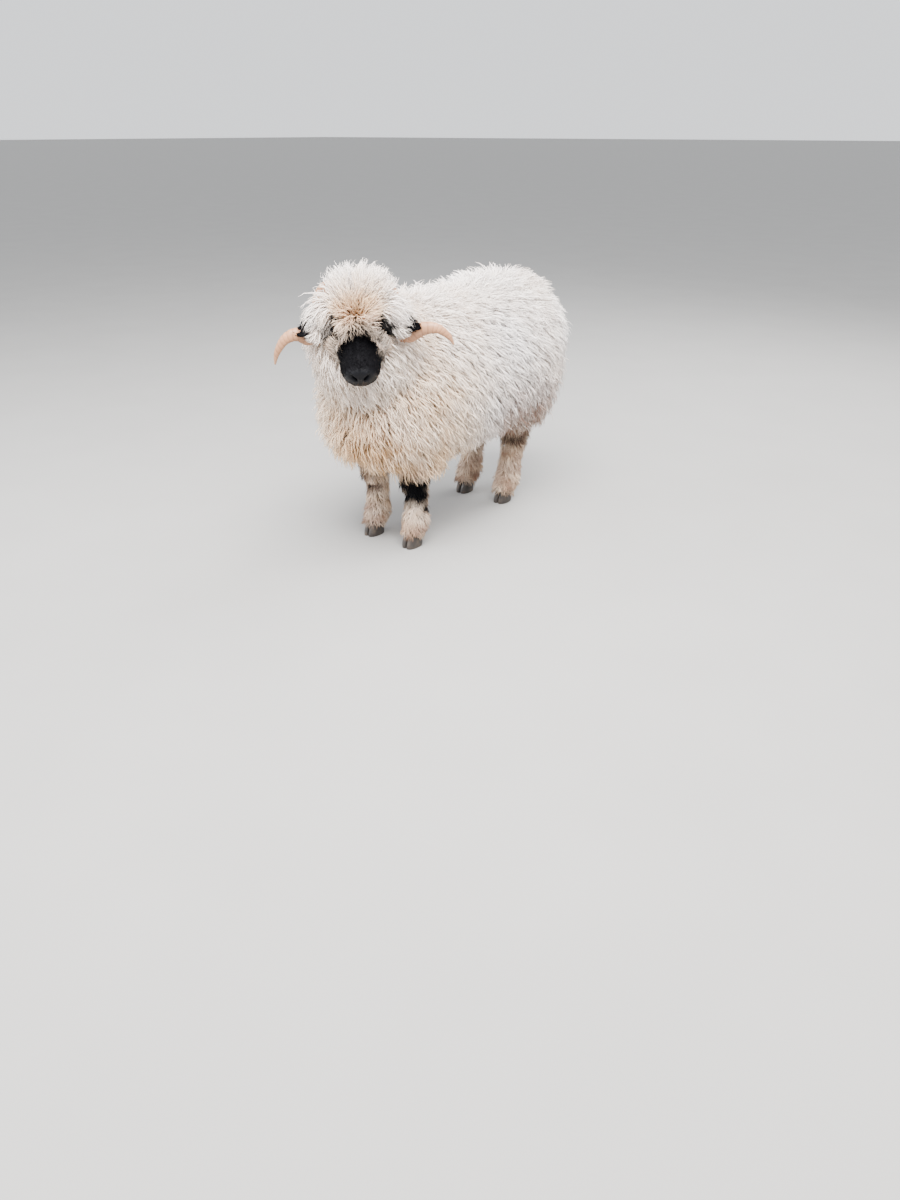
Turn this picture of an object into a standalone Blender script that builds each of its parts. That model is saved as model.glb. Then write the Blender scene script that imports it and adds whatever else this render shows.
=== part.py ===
"""A Valais Blacknose ewe, life size, standing still with its head turned to its left.

Metres, +Z up. The ewe faces -Y and its left side is at +X. Every fleshy node is a loft
through a few named stations, and carries its fleece as rounded, drooping clumps that are
fused to it. Where two nodes meet, the later one is cut by a copy of its neighbour that is
grown by GAP, so that they touch face to face and never overlap.
"""

import math
import random
from collections import namedtuple

import bmesh
import bpy
from mathutils import Matrix, Vector

# Driving sizes, in metres
GAP = 0.0004
WITHERS = 0.735
COAT = 0.066
CORE = 0.030
FRONT_FOOT = (0.085, -0.262)
HIND_FOOT = (0.088, 0.258)
HOOF_TOP = 0.044
LIPS = Vector((0.160, -0.553, 0.609))
HEAD_YAW = math.radians(44)
HEAD_DOWN = math.radians(52)
HEAD_ROLL = math.radians(4)
EYE_AT = (0.0610, 0.150, 0.030)
EYE_RADIUS = 0.0145
EYE_LOOK = (0.86, -0.46, 0.12)
LID = 0.0028
MOUTH_ANGLE = -10
MOUTH_DEPTH = 0.0035
MOUTH_CORNER = 0.064
CLUMP_SPACING = 0.146
CLUMP_TILT = math.radians(-10)
SEED = 11

# A station of a loft: its middle, its side and top directions, its half width, its reach
# above and below the middle, and how square and how narrow-topped it is.
Station = namedtuple("Station", "middle side top half rise drop square taper")

SIDE = Vector((1, 0, 0))
UP = Vector((0, 0, 1))
BACK = Vector((0, 1, 0))

WOOL = (0.86, 0.80, 0.70)
BLACK = (0.022, 0.020, 0.022)
HORN = (0.78, 0.60, 0.44)
HOOF = (0.10, 0.085, 0.075)
EYE = (0.20, 0.12, 0.05)


def clear_scene():
    """Removes whatever the file held before."""
    for thing in list(bpy.data.objects):
        bpy.data.objects.remove(thing)


def material(name, colour, roughness):
    """A plain surface finish."""
    made = bpy.data.materials.new(name)
    made.use_nodes = True
    shader = made.node_tree.nodes["Principled BSDF"]
    shader.inputs["Base Color"].default_value = (*colour, 1)
    shader.inputs["Roughness"].default_value = roughness
    return made


def upright(middle, half, rise, drop, square=2.2, taper=0.0):
    """A station across the body, seen from the front."""
    return Station(Vector(middle), SIDE, UP, half, rise, drop, square, taper)


def level(middle, half, depth, square=2.0):
    """A station across a leg, seen from above."""
    return Station(Vector(middle), SIDE, -BACK, half, depth, depth, square, 0.0)


class Loft:
    """A closed, smooth form through stations, with a pole or a flat cap at each end."""

    def __init__(self, stations, first=None, last=None):
        self.stations = stations
        self.first = first
        self.last = last

    def station(self, u):
        """The station at place u, on a smooth curve through the given ones."""
        count = len(self.stations)
        i = min(int(u), count - 2)
        f = u - i
        a, b, c, d = (self.stations[max(0, min(count - 1, i + k))] for k in (-1, 0, 1, 2))

        def through(p, q, r, s):
            return q + (r - p) * (0.5 * f) + (p - q * 2.5 + r * 2 - s * 0.5) * f**2 + (
                (q - r) * 1.5 + (s - p) * 0.5
            ) * f**3

        return Station(*(through(*four) for four in zip(a, b, c, d)))

    def point(self, u, angle, grow=0.0):
        """The point at place u and an angle round the loft, from its side towards its top."""
        at = self.station(u)
        cosine, sine = math.cos(angle), math.sin(angle)
        power = 2 / at.square
        across = math.copysign(abs(cosine) ** power, cosine)
        above = math.copysign(abs(sine) ** power, sine)
        half = (at.half + grow) * (1 - at.taper * max(0.0, above))
        reach = (at.rise if sine > 0 else at.drop) + grow
        side, top = at.side.normalized(), at.top.normalized()
        return at.middle + side * (half * across) + top * (reach * above)

    def normal(self, u, angle):
        """The direction out of the surface."""
        step = 0.02
        last = len(self.stations) - 1
        along = self.point(min(last, u + step), angle) - self.point(max(0, u - step), angle)
        round_it = self.point(u, angle + step) - self.point(u, angle - step)
        out = along.cross(round_it).normalized()
        return out if out.dot(self.point(u, angle) - self.station(u).middle) > 0 else -out

    def mesh(self, name, rows, angles, grow=0.0, shape=None):
        """The loft as a closed mesh, its poles and caps moved out by grow as well."""
        made = bmesh.new()
        last = len(self.stations) - 1
        rings = []
        for row in range(rows):
            u = last * row / (rows - 1)
            ring = [self.point(u, angle, grow) for angle in angles]
            if shape:
                ring = [shape(u, angle, spot) for angle, spot in zip(angles, ring)]
            rings.append([made.verts.new(spot) for spot in ring])
        for one, two in zip(rings, rings[1:]):
            for k in range(len(angles)):
                j = (k + 1) % len(angles)
                made.faces.new((one[k], one[j], two[j], two[k]))
        for ring, pole, u, way in ((rings[0], self.first, 0, -1), (rings[-1], self.last, last, 1)):
            self.close(made, ring, pole, u, way, grow)
        bmesh.ops.triangulate(made, faces=made.faces)
        bmesh.ops.recalc_face_normals(made, faces=made.faces)
        return to_object(name, made)

    def close(self, made, ring, pole, u, way, grow):
        """Closes one end, by a pole or by a flat cap that is pushed out by grow."""
        middle = self.station(u).middle
        if pole is None:
            step = 0.05 * way
            outward = (middle - self.station(u - step).middle).normalized() if grow else UP
            for vert in ring:
                vert.co += outward * grow
            made.faces.new(ring)
            return
        pole = Vector(pole)
        tip = made.verts.new(pole + (pole - middle).normalized() * grow)
        for k in range(len(ring)):
            made.faces.new((ring[k], ring[(k + 1) % len(ring)], tip))


def to_object(name, made):
    """Puts a bmesh in the scene as an object."""
    data = bpy.data.meshes.new(name)
    made.to_mesh(data)
    made.free()
    thing = bpy.data.objects.new(name, data)
    bpy.context.scene.collection.objects.link(thing)
    return thing


def evenly(count):
    """Angles all the way round."""
    return [math.tau * k / count for k in range(count)]


def clump(root, normal, lie, height, radius, grow=0.0, sides=6):
    """One rounded lobe of fleece: sunk at its upper end, and standing clear at its lower one."""
    across = normal.cross(lie).normalized()
    tilt = Matrix.Rotation(CLUMP_TILT, 3, across)
    along, out = tilt @ lie, tilt @ normal
    middle = root + normal * (0.10 * height) + lie * (0.20 * radius)
    long, wide, high = 1.15 * radius + grow, 0.90 * radius + grow, 0.90 * height + grow
    made = bmesh.new()
    rings = []
    for share, level in ((1.0, 0.0), (0.74, 0.66)):
        ring = []
        for angle in evenly(sides):
            spot = along * (long * share * math.cos(angle)) + across * (wide * share * math.sin(angle))
            ring.append(made.verts.new(middle + spot + out * (high * level)))
        rings.append(ring)
    low = made.verts.new(middle - out * (0.8 * radius + grow))
    top = made.verts.new(middle + out * high + along * (0.15 * long))
    for k in range(sides):
        j = (k + 1) % sides
        made.faces.new((rings[0][k], rings[0][j], rings[1][j], rings[1][k]))
        made.faces.new((rings[1][k], rings[1][j], top))
        made.faces.new((rings[0][k], rings[0][j], low))
    bmesh.ops.triangulate(made, faces=made.faces)
    bmesh.ops.recalc_face_normals(made, faces=made.faces)
    return to_object("clump", made)


def evaluated(thing):
    """Applies an object's modifiers to its mesh."""
    bpy.context.view_layer.update()
    graph = bpy.context.evaluated_depsgraph_get()
    data = bpy.data.meshes.new_from_object(thing.evaluated_get(graph))
    thing.modifiers.clear()
    thing.data = data


def fuse(thing, pieces):
    """Joins closed pieces to an object by one Boolean union."""
    if not pieces:
        return thing
    group = bpy.data.collections.new("pieces")
    bpy.context.scene.collection.children.link(group)
    for piece in pieces:
        bpy.context.scene.collection.objects.unlink(piece)
        group.objects.link(piece)
    union = thing.modifiers.new("fuse", "BOOLEAN")
    union.operation = "UNION"
    union.operand_type = "COLLECTION"
    union.collection = group
    union.solver = "MANIFOLD"
    evaluated(thing)
    for piece in pieces:
        bpy.data.objects.remove(piece)
    bpy.data.collections.remove(group)
    return thing


def cut(thing, cutters):
    """Cuts closed cutters away from an object, and removes them."""
    for cutter in cutters:
        away = thing.modifiers.new("cut", "BOOLEAN")
        away.operation = "DIFFERENCE"
        away.object = cutter
        away.solver = "MANIFOLD"
        evaluated(thing)
        bpy.data.objects.remove(cutter)
    return thing


def keep_largest(thing):
    """Keeps the largest closed surface, which drops scraps and fills sealed hollows."""
    made = bmesh.new()
    made.from_mesh(thing.data)
    left = set(made.verts)
    shells = []
    while left:
        todo = [left.pop()]
        shell = list(todo)
        while todo:
            for edge in todo.pop().link_edges:
                for vert in edge.verts:
                    if vert in left:
                        left.remove(vert)
                        todo.append(vert)
                        shell.append(vert)
        shells.append(shell)

    def extent(shell):
        spots = [vert.co for vert in shell]
        return sum(max(s[k] for s in spots) - min(s[k] for s in spots) for k in range(3))

    shells.sort(key=extent)
    bmesh.ops.delete(made, geom=[v for shell in shells[:-1] for v in shell], context="VERTS")
    made.to_mesh(thing.data)
    made.free()
    return thing


def finish_node(thing, name, finish):
    """Names a node, gives it its material and shades it smooth."""
    keep_largest(thing)
    thing.name = name
    thing.data.name = name
    thing.data.materials.clear()
    thing.data.materials.append(finish)
    thing.data.shade_smooth()
    thing.data.set_sharp_from_angle(angle=math.radians(50))
    return thing


def lie_down(normal, heading):
    """The lie of the coat: a heading laid flat on the surface."""
    flat = heading - normal * heading.dot(normal)
    if flat.length < 0.3 * heading.length:
        flat = BACK - normal * normal.y
    return flat.normalized()


def fleece(loft, draw, spacing, length, radius, heading, span, grow=0.0, keep=None, row_gap=0.86):
    """Sets clumps on a loft in staggered rows, from place span[0] to span[1].

    length, radius and heading are functions of the root's point. keep says where clumps grow.
    """
    made = []
    u, row = span[0], 0
    while u <= span[1]:
        here = [loft.point(u, angle) for angle in evenly(24)]
        girth = sum((a - b).length for a, b in zip(here, here[1:] + here[:1]))
        count = max(3, round(girth / spacing))
        for k in range(count):
            angle = math.tau * (k + 0.5 * (row % 2) + draw.uniform(-0.16, 0.16)) / count
            place = u + draw.uniform(-0.08, 0.08)
            place = min(max(place, span[0]), span[1])
            size = draw.uniform(0.88, 1.14)
            root = loft.point(place, angle)
            if keep and not keep(root):
                continue
            normal = loft.normal(place, angle)
            lie = lie_down(normal, heading(root))
            rise = length(root) * size * (0.55 if normal.z < -0.6 else 1.0)
            made.append(clump(root, normal, lie, rise, radius(root) * size, grow))
        step = 0.05
        pace = (loft.point(min(u + step, len(loft.stations) - 1), 0.6) - loft.point(u, 0.6)).length
        u += spacing * row_gap * step / max(pace, 0.001)
        row += 1
    return made


# Torso: the barrel of the body with its fleece core

TORSO = [
    upright((0, -0.380, 0.462), 0.098, 0.100, 0.108),
    upright((0, -0.340, 0.474), 0.136, 0.150, 0.152),
    upright((0, -0.270, 0.492), 0.162, 0.200, 0.196),
    upright((0, -0.170, 0.508), 0.174, WITHERS - 0.508, 0.214),
    upright((0, -0.050, 0.514), 0.180, 0.208, 0.216),
    upright((0, 0.080, 0.518), 0.187, 0.206, 0.210),
    upright((0, 0.200, 0.530), 0.190, 0.206, 0.200),
    upright((0, 0.310, 0.545), 0.186, 0.200, 0.190),
    upright((0, 0.400, 0.555), 0.158, 0.178, 0.172),
    upright((0, 0.455, 0.560), 0.112, 0.132, 0.125),
]


def padded(stations, depth):
    """The same stations, larger all round by a coat's core."""
    return [s._replace(half=s.half + depth, rise=s.rise + depth, drop=s.drop + depth) for s in stations]


def torso_loft():
    return Loft(padded(TORSO, CORE), first=(0, -0.438, 0.458), last=(0, 0.516, 0.560))


def thigh_loft(side):
    """The wool-covered mass of a hind quarter, from the hip down to the gaskin."""
    stations = [
        level((side * 0.085, 0.285, 0.620), 0.105, 0.130),
        level((side * 0.105, 0.290, 0.520), 0.105, 0.138),
        level((side * 0.110, 0.300, 0.430), 0.088, 0.122),
        level((side * 0.102, 0.315, 0.355), 0.066, 0.088),
    ]
    return Loft(stations, first=(side * 0.070, 0.285, 0.680), last=(side * 0.098, 0.328, 0.318))


def shoulder_loft(side):
    """The forearm's root under the fleece."""
    stations = [
        level((side * 0.095, -0.200, 0.520), 0.085, 0.100),
        level((side * 0.094, -0.215, 0.430), 0.080, 0.092),
        level((side * 0.090, -0.228, 0.355), 0.066, 0.076),
        level((side * 0.087, -0.236, 0.310), 0.052, 0.058),
    ]
    return Loft(stations, first=(side * 0.090, -0.195, 0.560), last=(side * 0.086, -0.240, 0.285))


def down_and_back(root):
    """Fleece falls from the spine down each side, and a little to the rear."""
    return Vector((math.copysign(0.35, root.x), 0.22, -1.0))


def torso(rich):
    """The torso before its neighbours are cut from it."""
    draw = random.Random(SEED)
    body = torso_loft()
    thing = body.mesh("torso", 17, evenly(20))
    pieces = []
    for side in (1, -1):
        pieces.append(thigh_loft(side).mesh("thigh", 6, evenly(12)))
        pieces.append(shoulder_loft(side).mesh("shoulder", 6, evenly(12)))
    if rich:
        pieces += fleece(
            body, draw, CLUMP_SPACING, lambda r: COAT - CORE, lambda r: 0.091,
            down_and_back, (0.15, 8.85),
        )
        for side in (1, -1):
            for loft, low, high in ((thigh_loft(side), 0.375, 0.52), (shoulder_loft(side), 0.345, 0.46)):
                pieces += fleece(
                    loft, draw, 0.136, lambda r: 0.026, lambda r: 0.070,
                    down_and_back, (0.9, 2.9), keep=lambda r, low=low, high=high: low < r.z < high and r.x * side > 0.105,
                )
    return fuse(thing, pieces)


# Neck

NECK = [
    Station(Vector((0.000, -0.205, 0.600)), SIDE, Vector((0, 0.10, 0.99)), 0.115, 0.115, 0.110, 2.1, 0.0),
    Station(Vector((0.004, -0.272, 0.606)), SIDE, Vector((0, 0.35, 0.94)), 0.124, 0.138, 0.150, 2.1, 0.0),
    Station(Vector((0.018, -0.352, 0.650)), Vector((0.96, 0.28, 0)), Vector((-0.14, 0.52, 0.84)), 0.108, 0.118, 0.138, 2.1, 0.0),
    Station(Vector((0.038, -0.425, 0.718)), Vector((0.86, 0.50, 0)), Vector((-0.30, 0.52, 0.80)), 0.092, 0.094, 0.112, 2.1, 0.0),
    Station(Vector((0.046, -0.460, 0.752)), Vector((0.80, 0.60, 0)), Vector((-0.36, 0.48, 0.80)), 0.058, 0.058, 0.078, 2.1, 0.0),
]


def neck_loft():
    return Loft(padded(NECK, CORE), first=None, last=(0.052, -0.490, 0.782))


def neck(rich, grow=0.0):
    """The neck, flat where it is let into the torso and rounded where the skull sits on it."""
    draw = random.Random(SEED + 1)
    loft = neck_loft()
    thing = loft.mesh("neck", 9, evenly(16), grow)
    pieces = []
    if rich:
        pieces = fleece(
            loft, draw, 0.124, lambda r: COAT - CORE, lambda r: 0.073,
            down_and_back, (1.4, 3.7), grow, None, 0.76,
        )
    return fuse(thing, pieces)


# Head: everything is placed from the front of the lips, back along the face

def head_axes():
    """The head's left, back and top directions."""
    facing = Vector((math.sin(HEAD_YAW), -math.cos(HEAD_YAW), 0))
    left = UP.cross(facing)
    back = -facing * math.cos(HEAD_DOWN) + UP * math.sin(HEAD_DOWN)
    top = facing * math.sin(HEAD_DOWN) + UP * math.cos(HEAD_DOWN)
    roll = Matrix.Rotation(-HEAD_ROLL, 3, back)
    return roll @ left, back, roll @ top


LEFT, ALONG, TOP = head_axes()


def on_head(x, y, z):
    """A point of the head, from its left, back and top measures."""
    return LIPS + LEFT * x + ALONG * y + TOP * z


def across(y, z, half, rise, drop, square=2.3, taper=0.0):
    """A station across the face."""
    return Station(on_head(0, y, z), LEFT, TOP, half, rise, drop, square, taper)


HEAD = [
    across(0.004, 0.002, 0.024, 0.026, 0.022),
    across(0.015, 0.003, 0.041, 0.040, 0.033),
    across(0.040, 0.002, 0.051, 0.048, 0.041, 2.4, 0.10),
    across(0.070, 0.000, 0.054, 0.056, 0.045, 2.4, 0.18),
    across(0.102, 0.000, 0.056, 0.065, 0.049, 2.3, 0.20),
    across(0.128, 0.000, 0.062, 0.073, 0.055, 2.2, 0.18),
    across(0.155, 0.000, 0.070, 0.080, 0.063, 2.2, 0.14),
    across(0.185, 0.002, 0.072, 0.082, 0.068, 2.2, 0.10),
    across(0.215, 0.006, 0.062, 0.076, 0.060, 2.1, 0.05),
    across(0.238, 0.010, 0.046, 0.058, 0.040),
]
HEAD_PADS = (0, 0, 0, 0, 0, 0.003, 0.010, 0.036, 0.048, 0.050)
CROWN_PADS = (0, 0, 0, 0, 0, 0, 0.002, 0.006, 0.010, 0.008)


def head_loft():
    stations = [
        s._replace(half=s.half + pad, rise=s.rise + pad + crown, drop=s.drop + pad)
        for s, pad, crown in zip(HEAD, HEAD_PADS, CROWN_PADS)
    ]
    return Loft(stations, first=on_head(0, 0, 0.002), last=on_head(0, 0.272, 0.015))


def head_angles():
    """Angles round the face, with three close together at each side for the line of the mouth."""
    mouth = [MOUTH_ANGLE - 9, MOUTH_ANGLE, MOUTH_ANGLE + 9]
    right = [*mouth, 14, 30, 46, 62, 78]
    degrees = right + [90] + [180 - a for a in reversed(right)] + [216, 240, 258, 270, 282, 300, 324]
    return [math.radians(a) for a in degrees]


def mouth_line(u, angle, spot):
    """Draws the ring in along the line between the lips, as far as the corner of the mouth."""
    y = (spot - LIPS).dot(ALONG)
    side = math.degrees(math.asin(math.sin(angle)))
    if y < MOUTH_CORNER and abs(side - MOUTH_ANGLE) < 1:
        inward = (LIPS + ALONG * y) - spot
        spot = spot + inward.normalized() * min(MOUTH_DEPTH, 0.3 * inward.length)
    return spot


def ball(radius, place, shape=(1, 1, 1), turn=None, segments=14, rings=9):
    """A closed ball, stretched along its own axes and then turned."""
    made = bmesh.new()
    bmesh.ops.create_uvsphere(made, u_segments=segments, v_segments=rings, radius=radius)
    bmesh.ops.scale(made, vec=Vector(shape), verts=made.verts)
    if turn:
        bmesh.ops.transform(made, matrix=turn.to_4x4(), verts=made.verts)
    bmesh.ops.translate(made, vec=place, verts=made.verts)
    bmesh.ops.triangulate(made, faces=made.faces)
    bmesh.ops.recalc_face_normals(made, faces=made.faces)
    return to_object("ball", made)


def eye_place(side):
    return on_head(side * EYE_AT[0], EYE_AT[1], EYE_AT[2])


def eye_look(side):
    return (LEFT * (side * EYE_LOOK[0]) + ALONG * EYE_LOOK[1] + TOP * EYE_LOOK[2]).normalized()


def eye(side, grow=0.0):
    return ball(EYE_RADIUS + grow, eye_place(side), segments=12, rings=7)


def eye_opening(side):
    """The almond between the lids, cut through the lid's shell only."""
    look = eye_look(side)
    length = (ALONG * 0.95 - TOP * 0.30)
    length = (length - look * length.dot(look)).normalized()
    turn = Matrix((length, look, look.cross(length))).transposed()
    return ball(1.0, eye_place(side) + look * EYE_RADIUS, (0.0125, 0.0090, 0.0062), turn)


def nostril(side):
    """A slanting, comma-like opening beside the middle of the nose."""
    turn = Matrix((
        (LEFT * (0.80 * side) + TOP * 0.60).normalized(),
        ALONG,
        (TOP * 0.80 - LEFT * (0.60 * side)).normalized(),
    )).transposed()
    return ball(1.0, on_head(side * 0.0175, 0.006, 0.0265), (0.0095, 0.0110, 0.0042), turn, 10, 7)


def on_woolly_head(root):
    """Where the head's fleece grows: crown, forehead, cheeks and throat, clear of the eyes."""
    measure = root - LIPS
    y, z = measure.dot(ALONG), measure.dot(TOP)
    start = 0.150 if z > 0.045 else 0.105
    clear = all((root - eye_place(side)).length > 0.036 for side in (1, -1))
    return y > start and clear


def head_lie(root):
    """Wool of the head spreads from the crown: forward over the brow, and down the sides."""
    measure = root - LIPS
    x, y, z = measure.dot(LEFT), measure.dot(ALONG), measure.dot(TOP)
    if z > 0.045:
        return LEFT * (x * 8) + UP * (8 * (y - 0.19))
    return LEFT * (x * 4) - UP


def head_wool_length(root):
    """Long on the crown and behind the ears, short towards the face."""
    measure = root - LIPS
    share = max(0.0, min(1.0, (measure.dot(ALONG) - 0.12) / 0.09))
    crown = max(0.0, min(1.0, measure.dot(TOP) / 0.08))
    wide = max(0.0, min(1.0, (abs(measure.dot(LEFT)) - 0.03) / 0.03))
    temple = wide * max(0.0, min(1.0, (0.060 - measure.dot(TOP)) / 0.02))
    return 0.024 + 0.024 * share + 0.012 * share * crown * (1 - wide) + 0.012 * temple


def head(rich, grow=0.0):
    """The head, with mouth line, lips, nostrils and lids."""
    draw = random.Random(SEED + 2)
    loft = head_loft()
    thing = loft.mesh("head", 21, head_angles(), grow, mouth_line)
    pieces = [ball(EYE_RADIUS + LID + grow, eye_place(side)) for side in (1, -1)]
    if rich:
        pieces += fleece(
            loft, draw, 0.080, head_wool_length, lambda r: 0.049, head_lie, (4.0, 8.9),
            grow, on_woolly_head, 0.70,
        )
    thing = fuse(thing, pieces)
    if grow:
        return thing
    cuts = [eye_opening(side) for side in (1, -1)] + [nostril(side) for side in (1, -1)]
    return cut(thing, cuts)


# Ears, horns and tail

def ear_loft(side):
    """A leaf-shaped ear that stands out sideways and hangs a little, its cup to the front."""
    root = on_head(side * 0.060, 0.180, 0.034)
    facing = Vector((math.sin(HEAD_YAW), -math.cos(HEAD_YAW), 0))
    out = (LEFT * side * 0.97 - UP * 0.20 + facing * 0.04).normalized()
    flat = (UP * 0.92 - facing * 0.38)
    flat = (flat - out * flat.dot(out)).normalized()
    thick = out.cross(flat)
    stations = []
    for reach, half in ((0.0, 0.011), (0.020, 0.014), (0.042, 0.020), (0.066, 0.023), (0.090, 0.018), (0.107, 0.009)):
        middle = root + out * reach - UP * (0.10 * reach**2 / 0.12)
        stations.append(Station(middle, flat, thick, half, 0.0065, 0.0065, 2.0, 0.0))
    return Loft(stations, first=None, last=stations[-1].middle + out * 0.008), thick, facing


def ear(side, grow=0.0):
    loft, thick, facing = ear_loft(side)
    front = 1 if thick.dot(facing) > 0 else -1

    def cupped(u, angle, spot):
        """Curls both edges forward and hollows the front face between them."""
        at = loft.station(u)
        share = max(-1.0, min(1.0, math.cos(angle)))
        curl = 0.34 * at.half * share**2 * min(1.0, u / 1.5)
        hollow = 0.0
        if math.sin(angle) * front > 0 and grow == 0:
            hollow = 0.0065 * min(1.0, max(0.0, u - 1.0)) * (1 - share**2)
        return spot + thick * (front * (curl - hollow))

    return loft.mesh("ear", 8, evenly(12), grow, cupped)


HORN_PATHS = {
    1: ((0.036, 0.018, 0.090), (0.060, 0.056, 0.104), (0.088, 0.094, 0.086), (0.105, 0.112, 0.040),
        (0.110, 0.104, -0.010), (0.118, 0.070, -0.038), (0.146, 0.038, -0.034), (0.184, 0.020, -0.013),
        (0.222, 0.012, -0.014), (0.252, 0.014, -0.036), (0.266, 0.018, -0.058)),
    -1: ((0.036, 0.018, 0.090), (0.060, 0.056, 0.104), (0.088, 0.094, 0.086), (0.105, 0.112, 0.042),
         (0.110, 0.104, 0.000), (0.116, 0.070, -0.028), (0.140, 0.036, -0.026), (0.172, 0.018, -0.010),
         (0.204, 0.010, -0.022), (0.228, 0.012, -0.056), (0.236, 0.018, -0.086)),
}
HORN_GIRTHS = (0.026, 0.026, 0.0255, 0.025, 0.0245, 0.0235, 0.0215, 0.0185, 0.0140, 0.0085, 0.0030)


def horn_loft(side):
    """One open curl: up from the crown, back and down behind the ear, then out to the side."""
    facing = Vector((math.sin(HEAD_YAW), -math.cos(HEAD_YAW), 0))
    left = (LEFT * side).normalized()
    eyes = on_head(0, EYE_AT[1], EYE_AT[2])
    spots = [eyes + left * x - facing * y + UP * z for x, y, z in HORN_PATHS[side]]
    stations = []
    middle = sum(spots[:6], Vector()) / 6
    for k, (spot, girth) in enumerate(zip(spots, HORN_GIRTHS)):
        ahead = (spots[min(k + 1, len(spots) - 1)] - spots[max(k - 1, 0)]).normalized()
        hub = middle if k < 6 else middle + left * (0.7 * (spot - middle).dot(left)) - UP * 0.06
        outer = spot - hub
        outer = (outer - ahead * outer.dot(ahead)).normalized()
        stations.append(Station(spot, outer, ahead.cross(outer), girth * 0.80, girth, girth, 2.2, 0.0))
    return Loft(stations, first=None, last=spots[-1] + (spots[-1] - spots[-2]).normalized() * 0.004)


def horn(side, grow=0.0):
    """A horn with shallow growth rings."""
    loft = horn_loft(side)

    def ringed(u, angle, spot):
        if grow:
            return spot
        middle = loft.station(u).middle
        return middle + (spot - middle) * (1 - 0.045 * (round(u * 2.4) % 2) * (u < 8))

    return loft.mesh("horn", 25, evenly(8), grow, ringed)


def tail_loft():
    stations = [
        Station(Vector((0, 0.480, 0.676)), SIDE, Vector((0, 0.6, 0.8)), 0.034, 0.026, 0.026, 2.0, 0.0),
        Station(Vector((0, 0.526, 0.640)), SIDE, Vector((0, 0.8, 0.5)), 0.035, 0.027, 0.027, 2.0, 0.0),
        Station(Vector((0, 0.550, 0.572)), SIDE, BACK, 0.036, 0.028, 0.028, 2.0, 0.0),
        Station(Vector((0, 0.556, 0.490)), SIDE, BACK, 0.034, 0.026, 0.026, 2.0, 0.0),
        Station(Vector((0, 0.550, 0.415)), SIDE, BACK, 0.025, 0.020, 0.020, 2.0, 0.0),
    ]
    return Loft(stations, first=None, last=(0, 0.546, 0.392))


def tail(rich, grow=0.0):
    draw = random.Random(SEED + 3)
    loft = tail_loft()
    thing = loft.mesh("tail", 9, evenly(12), grow)
    pieces = []
    if rich:
        pieces = fleece(
            loft, draw, 0.080, lambda r: 0.018, lambda r: 0.040,
            lambda r: -UP, (1.0, 3.9), grow, lambda r: r.y > 0.52,
        )
    return fuse(thing, pieces)


# Legs and hooves

def front_leg_loft(side):
    x, y = side * FRONT_FOOT[0], FRONT_FOOT[1]
    stations = [
        level((x, y + 0.028, 0.370), 0.044, 0.052),
        level((x, y + 0.024, 0.315), 0.040, 0.047),
        level((x, y + 0.018, 0.250), 0.037, 0.041),
        level((x, y + 0.020, 0.200), 0.033, 0.036),
        level((x, y + 0.022, 0.140), 0.031, 0.034),
        level((x, y + 0.020, 0.090), 0.033, 0.037),
        level((x, y + 0.010, 0.062), 0.032, 0.036),
        level((x, y + 0.002, HOOF_TOP + GAP), 0.027, 0.031),
    ]
    return Loft(stations)


def hind_leg_loft(side):
    x, y = side * HIND_FOOT[0], HIND_FOOT[1]
    stations = [
        level((x + side * 0.006, y + 0.018, 0.400), 0.052, 0.066),
        level((x + side * 0.004, y + 0.040, 0.340), 0.046, 0.058),
        level((x, y + 0.062, 0.285), 0.038, 0.046),
        level((x, y + 0.062, 0.235), 0.035, 0.040),
        level((x, y + 0.046, 0.160), 0.031, 0.034),
        level((x, y + 0.030, 0.095), 0.033, 0.037),
        level((x, y + 0.012, 0.062), 0.032, 0.036),
        level((x, y + 0.002, HOOF_TOP + GAP), 0.027, 0.031),
    ]
    return Loft(stations)


def leg(loft, rich, seed, grow=0.0):
    """A leg with its short, shaggy wool."""
    draw = random.Random(SEED + seed)
    thing = loft.mesh("leg", 9, evenly(10), grow)
    pieces = []
    if rich:
        pieces = fleece(
            loft, draw, 0.078, lambda r: 0.012, lambda r: 0.040, lambda r: -UP, (2.6, 5.7), grow, None, 1.15,
        )
    return fuse(thing, pieces)


def claw(x, y, side, grow=0.0):
    """One half of a cloven hoof, standing on a small flat at floor level."""
    middle = x + side * 0.0140
    stations = [
        level((middle, y - 0.005, 0.0), 0.0128, 0.0330, 2.6),
        level((middle, y - 0.004, 0.012), 0.0130, 0.0325, 2.5),
        level((middle - side * 0.0008, y - 0.001, 0.030), 0.0122, 0.0285, 2.3),
        level((middle - side * 0.0014, y + 0.002, HOOF_TOP), 0.0112, 0.0250, 2.2),
    ]
    loft = Loft(stations)

    def pointed(u, angle, spot):
        """Draws the toe in towards the cleft, as a claw narrows to its tip."""
        reach = max(0.0, (y - 0.004 - spot.y) / 0.034)
        return Vector((spot.x - side * 0.0045 * reach**2, spot.y, spot.z))

    return loft.mesh("claw", 4, evenly(10), grow, pointed)


def settle(nodes):
    """Moves the whole model so that the origin is at the middle of its box, on the floor."""
    spots = [vert.co for node in nodes for vert in node.data.vertices]
    low = [min(s[k] for s in spots) for k in range(3)]
    high = [max(s[k] for s in spots) for k in range(3)]
    shift = Matrix.Translation((-(low[0] + high[0]) / 2, -(low[1] + high[1]) / 2, -low[2]))
    for node in nodes:
        node.data.transform(shift)


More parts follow.
